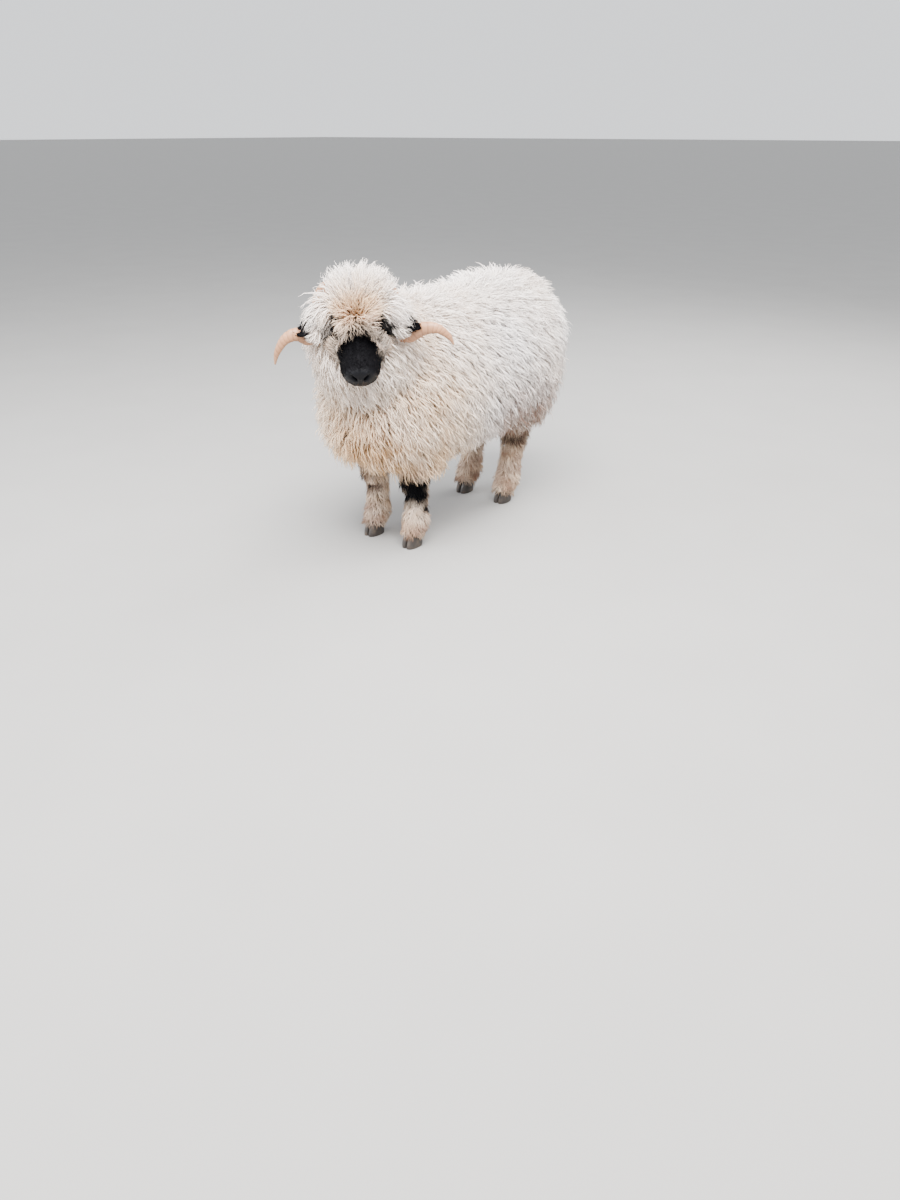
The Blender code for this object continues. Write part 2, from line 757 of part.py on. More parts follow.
def main(rich=True):
    clear_scene()
    wool = material("wool", WOOL, 0.95)
    black = material("black_hair", BLACK, 0.75)
    horny = material("horn", HORN, 0.45)
    hoofy = material("hoof", HOOF, 0.5)
    glossy = material("eye", EYE, 0.08)
    sides = {"left": 1, "right": -1}
    nodes = []

    lofts = {"front": front_leg_loft, "hind": hind_leg_loft}
    feet = {"front": FRONT_FOOT, "hind": HIND_FOOT}
    grown_legs = []
    seed = 20
    for end, loft_of in lofts.items():
        for word, side in sides.items():
            seed += 1
            limb = leg(loft_of(side), rich, seed)
            grown_legs.append(leg(loft_of(side), rich, seed, GAP))
            x, y = side * feet[end][0], feet[end][1]
            for place, turn in (("inner", -side), ("outer", side)):
                nodes.append(finish_node(claw(x, y, turn), f"claw_{end}_{word}_{place}", hoofy))
                limb = cut(limb, [claw(x, y, turn, GAP)])
            nodes.append(finish_node(limb, f"leg_{end}_{word}", wool))

    skull = head(rich)
    throat = neck(rich)
    for word, side in sides.items():
        skull = cut(skull, [eye(side, GAP), ear(side, GAP), horn(side, GAP)])
        throat = cut(throat, [ear(side, GAP), horn(side, GAP)])
        nodes.append(finish_node(cut(ear(side), [horn(side, GAP)]), f"ear_{word}", black))
        nodes.append(finish_node(eye(side), f"eye_{word}", glossy))
        nodes.append(finish_node(horn(side), f"horn_{word}", horny))
    throat = cut(throat, [head(rich, GAP)])
    nodes.append(finish_node(skull, "head", wool))
    nodes.append(finish_node(throat, "neck", wool))

    barrel = torso(rich)
    barrel = cut(barrel, [neck(rich, GAP), tail(rich, GAP), head(rich, GAP), *grown_legs])
    nodes.append(finish_node(barrel, "torso", wool))
    nodes.append(finish_node(tail(rich), "tail", wool))
    settle(nodes)


main()
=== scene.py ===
"""Looks of a Valais Blacknose ewe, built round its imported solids.

Metres, +Z up, in the frame's own axes: the ewe faces -Y and its left side is at +X. One skin
stands for the flesh. The fleece on it is made of separate locks of solid mesh, and eyes, horns
and hooves are pieces of their own. The animal is a still model, so every piece rides on the root.
"""

from __future__ import annotations

import logging
import math
from collections.abc import Callable, Sequence
from dataclasses import dataclass, field
from enum import Enum

import bmesh
import bpy
import numpy as np
from bpy.types import Material, Mesh, Node, NodeSocket, NodeTree, Object
from mathutils import Matrix, Vector
from mathutils.bvhtree import BVHTree
from mathutils.kdtree import KDTree

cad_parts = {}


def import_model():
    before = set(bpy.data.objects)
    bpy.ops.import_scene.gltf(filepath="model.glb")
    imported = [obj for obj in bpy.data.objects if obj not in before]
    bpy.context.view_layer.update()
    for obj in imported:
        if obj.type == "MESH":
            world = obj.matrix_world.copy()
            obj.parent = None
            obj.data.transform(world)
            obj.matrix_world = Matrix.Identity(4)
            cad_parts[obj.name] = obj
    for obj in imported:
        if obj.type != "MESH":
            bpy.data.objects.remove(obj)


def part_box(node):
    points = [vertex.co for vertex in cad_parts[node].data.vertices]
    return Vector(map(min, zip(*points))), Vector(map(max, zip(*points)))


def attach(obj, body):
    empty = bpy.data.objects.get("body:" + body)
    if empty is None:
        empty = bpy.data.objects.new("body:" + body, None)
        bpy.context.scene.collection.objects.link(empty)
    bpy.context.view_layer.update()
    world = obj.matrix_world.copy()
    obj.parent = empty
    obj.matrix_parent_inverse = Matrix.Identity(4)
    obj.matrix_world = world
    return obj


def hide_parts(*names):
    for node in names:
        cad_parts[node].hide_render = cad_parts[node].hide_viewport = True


log = logging.getLogger("ewe")

Array = np.ndarray
Colour = tuple[float, float, float, float]
Point = tuple[float, float, float]
Pair = tuple[float, float]
Rows = tuple[tuple[float, ...], ...]
Masks = tuple[Array, ...]
UP = np.array((0.0, 0.0, 1.0))


class Side(Enum):
    """The animal's own sides, each with the sign of X that it lies on."""

    LEFT = 1
    RIGHT = -1

    @property
    def word(self) -> str:
        """The side's name in lower case."""
        return self.name.lower()


class Region(Enum):
    """The parts of the body whose coat differs."""

    TORSO = "torso"
    NECK = "neck"
    HEAD = "head"
    TAIL = "tail"
    FRONT_LEG = "front_leg"
    HIND_LEG = "hind_leg"
    EAR = "ear"


@dataclass(frozen=True)
class Measures:
    """Driving sizes that several sub-assemblies share with the solids.

    Attributes:
        withers: Height of the withers without their wool.
        front_foot: X and Y of the left fore hoof.
        hind_foot: X and Y of the left hind hoof.
        hoof_top: Height of the coronet.
        sole_back: How far the sole's middle lies behind the foot's Y.
        lips: The front of the lips.
        head_yaw: How far the head is turned to the left.
        head_down: How far the face slopes down.
        head_roll: How far the head leans.
        eye_at: An eye's left, back and top measures.
        eye_radius: Radius of the eyeball.
        eye_look: The way that an eye looks, in left, back and top measures.
        lid: Thickness of the eyelids.
    """

    withers: float = 0.735
    front_foot: Pair = (0.085, -0.262)
    hind_foot: Pair = (0.088, 0.258)
    hoof_top: float = 0.044
    sole_back: float = -0.005
    lips: Point = (0.160, -0.553, 0.609)
    head_yaw: float = math.radians(44)
    head_down: float = math.radians(52)
    head_roll: float = math.radians(4)
    eye_at: Point = (0.0610, 0.150, 0.030)
    eye_radius: float = 0.0145
    eye_look: Point = (0.86, -0.46, 0.12)
    lid: float = 0.0026


EWE = Measures()


def unit(vectors: Array) -> Array:
    """Scales vectors to length one.

    Args:
        vectors: One vector, or one for each row.

    Returns:
        The same directions, of length one.
    """
    length = np.linalg.norm(vectors, axis=-1, keepdims=True)
    return vectors / np.maximum(length, 1e-9)


def rise(low: float | Array, high: float | Array, value: Array) -> Array:
    """Rises smoothly from 0 at low to 1 at high.

    Args:
        low: Where the rise starts. It may be above high, for a fall.
        high: Where the rise ends.
        value: The numbers to read it at.

    Returns:
        Values between 0 and 1.
    """
    share = np.clip((value - low) / (high - low), 0, 1)
    return share * share * (3 - 2 * share)


def bell(value: Array, middle: float, width: float) -> Array:
    """A soft bump of height 1 round a middle.

    Args:
        value: The numbers to read it at.
        middle: Where it is highest.
        width: How far from its middle it has fallen to a third.

    Returns:
        Values between 0 and 1.
    """
    return np.exp(-(((value - middle) / width) ** 2))


def column(values: Array) -> Array:
    """Numbers as one column, to scale the rows of points."""
    return np.asarray(values)[:, None]


def to_object(name: str, made: bmesh.types.BMesh) -> Object:
    """Puts a bmesh into the scene as a smooth-shaded object.

    Args:
        name: The object's name.
        made: The mesh, which is freed.

    Returns:
        The new object.
    """
    data = bpy.data.meshes.new(name)
    made.to_mesh(data)
    made.free()
    data.shade_smooth()
    return link(name, data)


def link(name: str, data: Mesh) -> Object:
    """Adds a mesh to the scene under a name."""
    thing = bpy.data.objects.new(name, data)
    bpy.context.scene.collection.objects.link(thing)
    return thing


def write_colours(data: Mesh, name: str, colours: Array) -> None:
    """Stores four numbers on each point of a mesh.

    Args:
        data: The mesh.
        name: The attribute's name, as the materials read it.
        colours: One row of four for each point.
    """
    layer = data.attributes.new(name, "FLOAT_COLOR", "POINT")
    layer.data.foreach_set("color", colours.astype(np.float32).reshape(-1))


def read_points(data: Mesh) -> Array:
    """The points of a mesh, one row each."""
    spots = np.empty(len(data.vertices) * 3)
    data.vertices.foreach_get("co", spots)
    return spots.reshape(-1, 3)


def write_points(data: Mesh, spots: Array) -> None:
    """Moves the points of a mesh."""
    data.vertices.foreach_set("co", spots.reshape(-1))
    data.update()


def combine(thing: Object, pieces: Sequence[Object], operation: str) -> None:
    """Joins pieces to an object, or cuts them from it, and removes them.

    Args:
        thing: The object that changes.
        pieces: The closed objects to join or cut.
        operation: UNION or DIFFERENCE.
    """
    group = bpy.data.collections.new("tools")
    bpy.context.scene.collection.children.link(group)
    for piece in pieces:
        bpy.context.scene.collection.objects.unlink(piece)
        group.objects.link(piece)
    change = thing.modifiers.new("change", "BOOLEAN")
    change.operation = operation
    change.operand_type = "COLLECTION"
    change.collection = group
    change.solver = "MANIFOLD"
    bpy.ops.object.select_all(action="DESELECT")
    bpy.context.view_layer.objects.active = thing
    bpy.ops.object.modifier_apply(modifier=change.name)
    for piece in pieces:
        bpy.data.objects.remove(piece)
    bpy.data.collections.remove(group)


def place_in_mesh(name: str) -> Object:
    """Ends the modelling of the active object: its place goes into its mesh.

    Args:
        name: The name that it gets.

    Returns:
        The object, at the origin, unturned and unscaled.
    """
    bpy.ops.object.mode_set(mode="OBJECT")
    thing = bpy.context.object
    bpy.ops.object.transform_apply(location=True, rotation=True, scale=True)
    thing.name = thing.data.name = name
    thing.data.shade_smooth()
    return thing


@dataclass(frozen=True)
class Station:
    """One cross-section of a loft.

    Attributes:
        middle: Its middle point.
        side: Its direction to the side.
        top: Its direction to the top.
        half: Half its width.
        above: Its reach above the middle.
        below: Its reach below the middle.
        square: The power of its rounding, 2 for an ellipse and more for a squarer form.
        taper: How much narrower it is at its top.
    """

    middle: Sequence[float]
    side: Sequence[float]
    top: Sequence[float]
    half: float
    above: float
    below: float
    square: float = 2.2
    taper: float = 0.0

    def row(self) -> list[float]:
        """Lists its numbers for the loft's table."""
        shape = [self.half, self.above, self.below, self.square, self.taper]
        return [*self.middle, *self.side, *self.top, *shape]


def level(middle: Sequence[float], half: float, depth: float, square: float = 2.0) -> Station:
    """A station across a leg, seen from above."""
    return Station(middle, (1, 0, 0), (0, -1, 0), half, depth, depth, square)


class Loft:
    """A smooth closed form through stations, with a pole or a flat cap at each end."""

    def __init__(
        self,
        region: Region,
        stations: Sequence[Station],
        first: Sequence[float] | None = None,
        last: Sequence[float] | None = None,
        shape: Callable[[Array], Array] | None = None,
    ) -> None:
        """Stores the stations as one table.

        Args:
            region: The part of the body that it belongs to.
            stations: Its cross-sections, in order.
            first: The pole before the first station, or None for a flat cap.
            last: The pole after the last station, or None for a flat cap.
            shape: A function that moves surface points, for carved detail.
        """
        self.region = region
        self.table = np.array([s.row() for s in stations], float)
        self.first = None if first is None else np.array(first, float)
        self.last = None if last is None else np.array(last, float)
        self.shape = shape
        self.top = len(stations) - 1
        self.start = 0.0 if first is None else -1.0
        self.end = self.top + (0.0 if last is None else 1.0)

    def move(self, shift: Array) -> Loft:
        """Moves the whole loft.

        Args:
            shift: How far it moves.

        Returns:
            The loft itself.
        """
        self.table[:, 0:3] += shift
        self.first = None if self.first is None else self.first + shift
        self.last = None if self.last is None else self.last + shift
        return self

    def rows(self, u: Array) -> Array:
        """Reads the table on a smooth curve through its rows.

        Args:
            u: Places along the loft, one unit from station to station.

        Returns:
            One row of the table's columns for each place.
        """
        u = np.clip(u, 0, self.top)
        i = np.clip(u.astype(int), 0, self.top - 1)
        f = column(u - i)
        p, q, r, s = (self.table[np.clip(i + k, 0, self.top)] for k in (-1, 0, 1, 2))
        bend = (p - q * 2.5 + r * 2 - s * 0.5) * f**2 + ((q - r) * 1.5 + (s - p) * 0.5) * f**3
        return q + (r - p) * (0.5 * f) + bend

    def points(self, u: Array, angle: Array) -> Array:
        """Finds surface points.

        Args:
            u: Places along the loft. Below 0 and past the top they lie on the rounded ends.
            angle: Angles round it, from its side towards its top.

        Returns:
            One point for each place.
        """
        at = self.rows(u)
        middle, side, top = at[:, 0:3], unit(at[:, 3:6]), unit(at[:, 6:9])
        half, above, below, square, taper = at[:, 9:14].T
        cosine, sine = np.cos(angle), np.sin(angle)
        across = np.sign(cosine) * np.abs(cosine) ** (2 / square)
        upward = np.sign(sine) * np.abs(sine) ** (2 / square)
        wide = half * (1 - taper * np.maximum(upward, 0)) * across
        high = np.where(sine > 0, above, below) * upward
        made = middle + side * column(wide) + top * column(high)
        for pole, past in ((self.first, -u), (self.last, u - self.top)):
            if pole is not None:
                turn = column(np.clip(past, 0, 1) * (math.pi / 2))
                made = middle + (made - middle) * np.cos(turn) + (pole - middle) * np.sin(turn)
        return self.shape(made) if self.shape else made

    def places(self, rows: int) -> Array:
        """Evenly spaced places from one end to the other, just short of any pole."""
        short = 0.03
        low = self.start + (0 if self.first is None else short)
        high = self.end - (0 if self.last is None else short)
        return np.linspace(low, high, rows)

    def slopes(self, u: Array, angle: Array) -> tuple[Array, Array]:
        """Measures how the surface runs.

        Args:
            u: Places along the loft.
            angle: Angles round it.

        Returns:
            The slopes along the loft and round it.
        """
        step = 0.01
        ahead, behind = np.minimum(u + step, self.end), np.maximum(u - step, self.start)
        along = (self.points(ahead, angle) - self.points(behind, angle)) / column(ahead - behind)
        round_it = (self.points(u, angle + step) - self.points(u, angle - step)) / (2 * step)
        return along, round_it

    def area(self, u: Array, angle: Array) -> Array:
        """The surface's area for each unit of place and of angle."""
        return np.linalg.norm(np.cross(*self.slopes(u, angle)), axis=1)

    def normals(self, u: Array, angle: Array) -> Array:
        """Finds the directions out of the surface.

        Args:
            u: Places along the loft.
            angle: Angles round it.

        Returns:
            One direction for each place.
        """
        out = unit(np.cross(*self.slopes(u, angle)))
        inside = self.rows(u)[:, 0:3]
        facing = ((self.points(u, angle) - inside) * out).sum(1)
        return out * column(np.where(facing < 0, -1.0, 1.0))

    def mesh(self, name: str, rows: int, columns: int) -> Object:
        """Builds the loft as a closed mesh object.

        Args:
            name: The object's name.
            rows: Number of rings.
            columns: Number of points in a ring.

        Returns:
            The new object. Its first points are those of the rings, in order.
        """
        u = np.repeat(self.places(rows), columns)
        angle = np.tile(np.linspace(0, math.tau, columns, endpoint=False), rows)
        made = bmesh.new()
        verts = [made.verts.new(Vector(p)) for p in self.points(u, angle)]
        for i in range(rows - 1):
            for k in range(columns):
                j = (k + 1) % columns
                a, b = i * columns, (i + 1) * columns
                made.faces.new((verts[a + k], verts[a + j], verts[b + j], verts[b + k]))
        for start, pole in ((0, self.first), ((rows - 1) * columns, self.last)):
            ring = verts[start : start + columns]
            if pole is None:
                made.faces.new(ring)
                continue
            tip = made.verts.new(Vector(pole))
            for k in range(columns):
                made.faces.new((ring[k], ring[(k + 1) % columns], tip))
        bmesh.ops.recalc_face_normals(made, faces=made.faces)
        return to_object(name, made)


@dataclass(frozen=True)
class Trunk:
    """Barrel, neck, tail, shoulders and thighs without their wool.

    Attributes:
        barrel: Y and Z of each station's middle, half width, reach above and below it.
        barrel_ends: The poles at breast and rump.
        neck: Middle, side and top directions, half width, and reach above and below.
        neck_end: The pole inside the poll.
        tail: Y and Z of the middle, the top direction's Y and Z, half width and depth.
        tail_end: The tail's tip.
        thigh: X, Y, Z, half width and half depth, from hip to gaskin.
        thigh_ends: Its poles.
        shoulder: The same, from shoulder to elbow.
        shoulder_ends: Its poles.
    """

    barrel: Rows = (
        (-0.380, 0.462, 0.098, 0.100, 0.108),
        (-0.340, 0.474, 0.136, 0.150, 0.152),
        (-0.270, 0.492, 0.162, 0.200, 0.196),
        (-0.170, 0.508, 0.174, EWE.withers - 0.508, 0.214),
        (-0.050, 0.514, 0.180, 0.208, 0.216),
        (0.080, 0.518, 0.187, 0.206, 0.210),
        (0.200, 0.530, 0.190, 0.206, 0.200),
        (0.310, 0.545, 0.186, 0.200, 0.190),
        (0.400, 0.555, 0.158, 0.178, 0.172),
        (0.455, 0.560, 0.112, 0.132, 0.125),
    )
    barrel_ends: tuple[Point, Point] = ((0, -0.408, 0.458), (0, 0.486, 0.560))
    neck: tuple[tuple, ...] = (
        ((0.000, -0.205, 0.600), (1, 0, 0), (0, 0.10, 0.99), 0.115, 0.115, 0.110),
        ((0.004, -0.272, 0.606), (1, 0, 0), (0, 0.35, 0.94), 0.124, 0.138, 0.150),
        ((0.018, -0.352, 0.650), (0.96, 0.28, 0), (-0.14, 0.52, 0.84), 0.108, 0.118, 0.138),
        ((0.038, -0.425, 0.718), (0.86, 0.50, 0), (-0.30, 0.52, 0.80), 0.092, 0.094, 0.112),
        ((0.046, -0.460, 0.752), (0.80, 0.60, 0), (-0.36, 0.48, 0.80), 0.058, 0.058, 0.078),
    )
    neck_end: Point = (0.052, -0.480, 0.776)
    tail: Rows = (
        (0.480, 0.676, 0.6, 0.8, 0.024, 0.018),
        (0.526, 0.640, 0.8, 0.5, 0.024, 0.018),
        (0.550, 0.572, 1.0, 0.0, 0.023, 0.017),
        (0.556, 0.490, 1.0, 0.0, 0.020, 0.015),
        (0.550, 0.425, 1.0, 0.0, 0.013, 0.010),
    )
    tail_end: Point = (0, 0.548, 0.408)
    thigh: Rows = (
        (0.085, 0.285, 0.620, 0.080, 0.105),
        (0.105, 0.290, 0.520, 0.082, 0.115),
        (0.108, 0.300, 0.430, 0.066, 0.100),
        (0.098, 0.312, 0.360, 0.048, 0.066),
    )
    thigh_ends: tuple[Point, Point] = ((0.070, 0.285, 0.650), (0.095, 0.320, 0.330))
    shoulder: Rows = (
        (0.095, -0.200, 0.520, 0.070, 0.084),
        (0.094, -0.215, 0.430, 0.064, 0.076),
        (0.090, -0.228, 0.360, 0.050, 0.058),
        (0.087, -0.236, 0.320, 0.040, 0.046),
    )
    shoulder_ends: tuple[Point, Point] = ((0.090, -0.195, 0.550), (0.086, -0.240, 0.300))

    def lofts(self) -> dict[str, Loft]:
        """Builds the lofts in the animal's own frame.

        Returns:
            The lofts by name.
        """
        barrel = [Station((0, y, z), (1, 0, 0), (0, 0, 1), *sizes) for y, z, *sizes in self.barrel]
        neck = [Station(*row, 2.1) for row in self.neck]
        tail = [
            Station((0, y, z), (1, 0, 0), (0, ty, tz), half, deep, deep, 2.0)
            for y, z, ty, tz, half, deep in self.tail
        ]
        made = {
            "torso": Loft(Region.TORSO, barrel, *self.barrel_ends),
            "neck": Loft(Region.NECK, neck, None, self.neck_end),
            "tail": Loft(Region.TAIL, tail, None, self.tail_end),
        }
        for side in Side:
            made[f"thigh_{side.word}"] = self.limb_root(side, self.thigh, self.thigh_ends)
            made[f"shoulder_{side.word}"] = self.limb_root(side, self.shoulder, self.shoulder_ends)
        return made

    @staticmethod
    def limb_root(side: Side, rows: tuple, ends: tuple[Point, Point]) -> Loft:
        """Builds the mass where a limb joins the barrel.

        Args:
            side: The side that it is on.
            rows: Its stations on the left.
            ends: Its poles on the left.

        Returns:
            The loft, mirrored for the right side.
        """
        flip = np.array((side.value, 1, 1))
        stations = [level(np.array(row[:3]) * flip, *row[3:]) for row in rows]
        return Loft(Region.TORSO, stations, *(np.array(end) * flip for end in ends))


@dataclass(frozen=True)
class Legs:
    """The four legs below elbow and stifle.

    Attributes:
        fore: Outward offset and rearward offset from the foot, height, half width, half depth.
        hind: The same for a hind leg.
    """

    fore: Rows = (
        (0, 0.028, 0.370, 0.038, 0.046),
        (0, 0.024, 0.315, 0.034, 0.040),
        (0, 0.018, 0.250, 0.028, 0.032),
        (0, 0.016, 0.215, 0.027, 0.031),
        (0, 0.022, 0.180, 0.022, 0.025),
        (0, 0.022, 0.130, 0.021, 0.023),
        (0, 0.020, 0.090, 0.026, 0.029),
        (0, 0.010, 0.062, 0.025, 0.028),
        (0, 0.001, EWE.hoof_top, 0.0265, 0.0290),
    )
    hind: Rows = (
        (0.006, 0.018, 0.400, 0.046, 0.060),
        (0.004, 0.040, 0.340, 0.038, 0.050),
        (0, 0.062, 0.285, 0.028, 0.036),
        (0, 0.062, 0.235, 0.025, 0.030),
        (0, 0.046, 0.160, 0.021, 0.023),
        (0, 0.030, 0.095, 0.026, 0.029),
        (0, 0.012, 0.062, 0.025, 0.028),
        (0, 0.001, EWE.hoof_top, 0.0265, 0.0290),
    )

    def lofts(self) -> dict[str, Loft]:
        """Builds the four lofts in the animal's own frame.

        Returns:
            The lofts by name.
        """
        made = {}
        for region, foot, rows in (
            (Region.FRONT_LEG, EWE.front_foot, self.fore),
            (Region.HIND_LEG, EWE.hind_foot, self.hind),
        ):
            for side in Side:
                stations = [
                    level((side.value * (foot[0] + x), foot[1] + y, z), half, deep)
                    for x, y, z, half, deep in rows
                ]
                made[f"{region.value}_{side.word}"] = Loft(region, stations)
        return made


@dataclass(frozen=True)
class Face:
    """What is carved into the head, or stands out from it.

    Attributes:
        mouth: Depth of the line between the lips.
        lips: How full the lips are.
        nostril: Depth of a nostril.
        nostril_at: A nostril's place to the side and up.
        nostril_back: How far a nostril is drawn back.
        wing: How full the rim of a nostril is.
        groove: Depth of the groove between the nostrils.
        hollow: Depth of the hollow round an eye.
        brow: How far the brow stands out.
        cheek: How far the cheekbone stands out.
    """

    mouth: float = 0.0054
    lips: float = 0.0026
    nostril: float = 0.0110
    nostril_at: Pair = (0.0185, 0.0265)
    nostril_back: float = 0.0065
    wing: float = 0.0030
    groove: float = 0.0030
    hollow: float = 0.0026
    brow: float = 0.0040
    cheek: float = 0.0022


@dataclass
class Head:
    """Skull and ears, measured from the front of the lips, back along the face.

    Attributes:
        shift: From the animal's own frame to the row frame.
        face: What is carved into it.
        rows: Back and top places, half width, reach above and below, rounding and taper.
        ends: The poles at lips and poll.
        whorl: Where the wool of the brow parts.
        ear_root: Where an ear leaves the skull.
        ear_rows: Distance from the root and half width of each station of an ear.
        ear_thick: Half the thickness of an ear.
        ear_tip: How far its tip reaches past its last station.
        facing: The level direction in which the face looks.
        axes: The directions to its left, back and top.
        lips: The front of the lips.
    """

    shift: Array
    face: Face = Face()
    rows: Rows = (
        (0.004, 0.002, 0.024, 0.026, 0.022, 2.3, 0.00),
        (0.015, 0.003, 0.041, 0.040, 0.033, 2.3, 0.00),
        (0.040, 0.002, 0.051, 0.048, 0.041, 2.4, 0.10),
        (0.070, 0.000, 0.054, 0.056, 0.045, 2.4, 0.18),
        (0.102, 0.000, 0.056, 0.065, 0.049, 2.3, 0.20),
        (0.128, 0.000, 0.062, 0.073, 0.055, 2.2, 0.18),
        (0.155, 0.000, 0.069, 0.079, 0.062, 2.2, 0.14),
        (0.185, 0.002, 0.072, 0.082, 0.068, 2.2, 0.10),
        (0.215, 0.006, 0.062, 0.076, 0.060, 2.1, 0.05),
        (0.238, 0.010, 0.046, 0.058, 0.040, 2.3, 0.00),
    )
    ends: tuple[Point, Point] = ((0, 0, 0.002), (0, 0.256, 0.015))
    whorl: Point = (0, 0.161, 0.076)
    ear_root: Point = (0.060, 0.180, 0.034)
    ear_rows: tuple[Pair, ...] = (
        (0.0, 0.011),
        (0.020, 0.014),
        (0.042, 0.020),
        (0.066, 0.023),
        (0.090, 0.018),
        (0.107, 0.009),
    )
    ear_thick: float = 0.0055
    ear_tip: float = 0.008
    facing: Array = field(init=False)
    axes: Array = field(init=False)
    lips: Array = field(init=False)

    def __post_init__(self) -> None:
        """Sets up the head's axes."""
        facing = np.array((math.sin(EWE.head_yaw), -math.cos(EWE.head_yaw), 0))
        back = -facing * math.cos(EWE.head_down) + UP * math.sin(EWE.head_down)
        top = facing * math.sin(EWE.head_down) + UP * math.cos(EWE.head_down)
        roll = np.array(Matrix.Rotation(-EWE.head_roll, 3, Vector(back)))
        self.facing = facing
        self.axes = np.array((roll @ np.cross(UP, facing), back, roll @ top))
        self.lips = np.array(EWE.lips) + self.shift

    def place(self, x: float, y: float, z: float) -> Array:
        """A point from its left, back and top measures."""
        return self.lips + np.array((x, y, z)) @ self.axes

    def measure(self, points: Array) -> Array:
        """The left, back and top measures of points, in columns."""
        return (points - self.lips) @ self.axes.T

    def eye(self, side: Side) -> Array:
        """The middle of an eye."""
        x, y, z = EWE.eye_at
        return self.place(side.value * x, y, z)

    def look(self, side: Side) -> Array:
        """The way that an eye looks."""
        x, y, z = EWE.eye_look
        return unit(np.array((side.value * x, y, z)) @ self.axes)

    def slit(self, side: Side) -> Array:
        """The direction from corner to corner of an eye."""
        along = self.axes[1] * 0.95 - self.axes[2] * 0.30
        look = self.look(side)
        return unit(along - look * (along @ look))

    def from_eyes(self, points: Array) -> Array:
        """How far points are from the nearer eye."""
        return np.minimum(*[np.linalg.norm(points - self.eye(side), axis=1) for side in Side])

    def nearer_eye(self, points: Array) -> Array:
        """The middle of the nearer eye for each point."""
        left = np.linalg.norm(points - self.eye(Side.LEFT), axis=1)
        right = np.linalg.norm(points - self.eye(Side.RIGHT), axis=1)
        return np.where(column(left < right), self.eye(Side.LEFT), self.eye(Side.RIGHT))

    def carve(self, points: Array) -> Array:
        """Carves mouth, nostrils, nose, brows and eye hollows into the head's surface.

        Args:
            points: Points of the smooth head.

        Returns:
            The moved points.
        """
        face = self.face
        x, y, z = self.measure(points).T
        wide = np.abs(x)
        inward = -unit(np.stack((x, 0 * x, z), 1) + 1e-9)
        line = z + 0.0045 + 0.10 * np.maximum(y - 0.010, 0)
        mouth = bell(line, 0, 0.0028) * rise(0.072, 0.056, y)
        lips = bell(line, 0, 0.010) * rise(0.070, 0.040, y)
        aside, above = wide - face.nostril_at[0], z - face.nostril_at[1]
        slant, run = above * 0.80 - aside * 0.60, above * 0.60 + aside * 0.80
        nostril = bell(slant, 0, 0.0044) * np.exp(-((run / 0.0100) ** 4)) * rise(0.040, 0.022, y)
        wing = bell(slant, 0.0080, 0.0045) * bell(run, 0, 0.012) * rise(0.045, 0.025, y)
        groove = bell(x, 0, 0.0026) * rise(0.035, 0.012, y) * rise(-0.006, 0.002, z)
        hollow = bell(self.from_eyes(points), 0.022, 0.007)
        brow = bell(y, 0.166, 0.013) * bell(z, 0.058, 0.016) * bell(wide, 0.052, 0.018)
        cheek = bell(y, 0.112, 0.026) * bell(z, 0.002, 0.016) * rise(0.03, 0.05, wide)
        depth = face.mouth * mouth - face.lips * lips + face.nostril * nostril - face.wing * wing
        depth += face.groove * groove + face.hollow * hollow - face.brow * brow - face.cheek * cheek
        pit = face.nostril_back * nostril
        return points + (inward * column(depth)) @ self.axes + self.axes[1] * column(pit)

    def lofts(self) -> dict[str, Loft]:
        """Builds the lofts of skull and ears in the row frame.

        Returns:
            The lofts by name.
        """
        left, _, top = self.axes
        stations = [Station(self.place(0, y, z), left, top, *sizes) for y, z, *sizes in self.rows]
        ends = [self.place(*end) for end in self.ends]
        made = {"head": Loft(Region.HEAD, stations, *ends, self.carve)}
        for side in Side:
            made[f"ear_{side.word}"] = self.ear(side)
        return made

    def ear(self, side: Side) -> Loft:
        """Builds a leaf-shaped ear that stands out sideways, cupped to the front.

        Args:
            side: The side that it is on.

        Returns:
            The ear's loft in the row frame.
        """
        x, y, z = self.ear_root
        root = self.place(side.value * x, y, z)
        out = unit(self.axes[0] * side.value * 0.97 - UP * 0.20 + self.facing * 0.04)
        flat = UP * 0.92 - self.facing * 0.38
        flat = unit(flat - out * (flat @ out))
        thick = np.cross(out, flat)
        front = math.copysign(1.0, thick @ self.facing)
        stations = []
        for reach, half in self.ear_rows:
            middle = root + out * reach - UP * (0.10 * reach**2 / 0.12)
            stations.append(Station(middle, flat, thick, half, self.ear_thick, self.ear_thick, 2.0))
        tip = stations[-1].middle + out * self.ear_tip

        def cupped(points: Array) -> Array:
            """Curls both edges forward and hollows the front face between them."""
            away = points - root
            reach = away @ out
            share = (away @ flat) / 0.023
            inner = rise(0.0, 0.003, (away @ thick) * front) * rise(0.012, 0.03, reach)
            curl = 0.008 * share**2 * np.clip(reach / 0.03, 0, 1)
            hollow = 0.0055 * inner * np.maximum(0, 1 - share**2)
            return points + thick * column(front * (curl - hollow))

        return Loft(Region.EAR, stations, None, tip, cupped)


class Body:
    """All lofts of the ewe in the row frame."""

    def __init__(self) -> None:
        """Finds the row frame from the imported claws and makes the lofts."""
        lows, highs = zip(*(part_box(f"claw_front_left_{place}") for place in ("inner", "outer")))
        middle = (np.min(lows, axis=0) + np.max(highs, axis=0)) / 2
        x, y = EWE.front_foot
        self.shift = np.array((middle[0] - x, middle[1] - y - EWE.sole_back, 0.0))
        self.head = Head(self.shift)
        own = {**Trunk().lofts(), **Legs().lofts()}
        self.lofts = {name: loft.move(self.shift) for name, loft in own.items()}
        self.lofts.update(self.head.lofts())


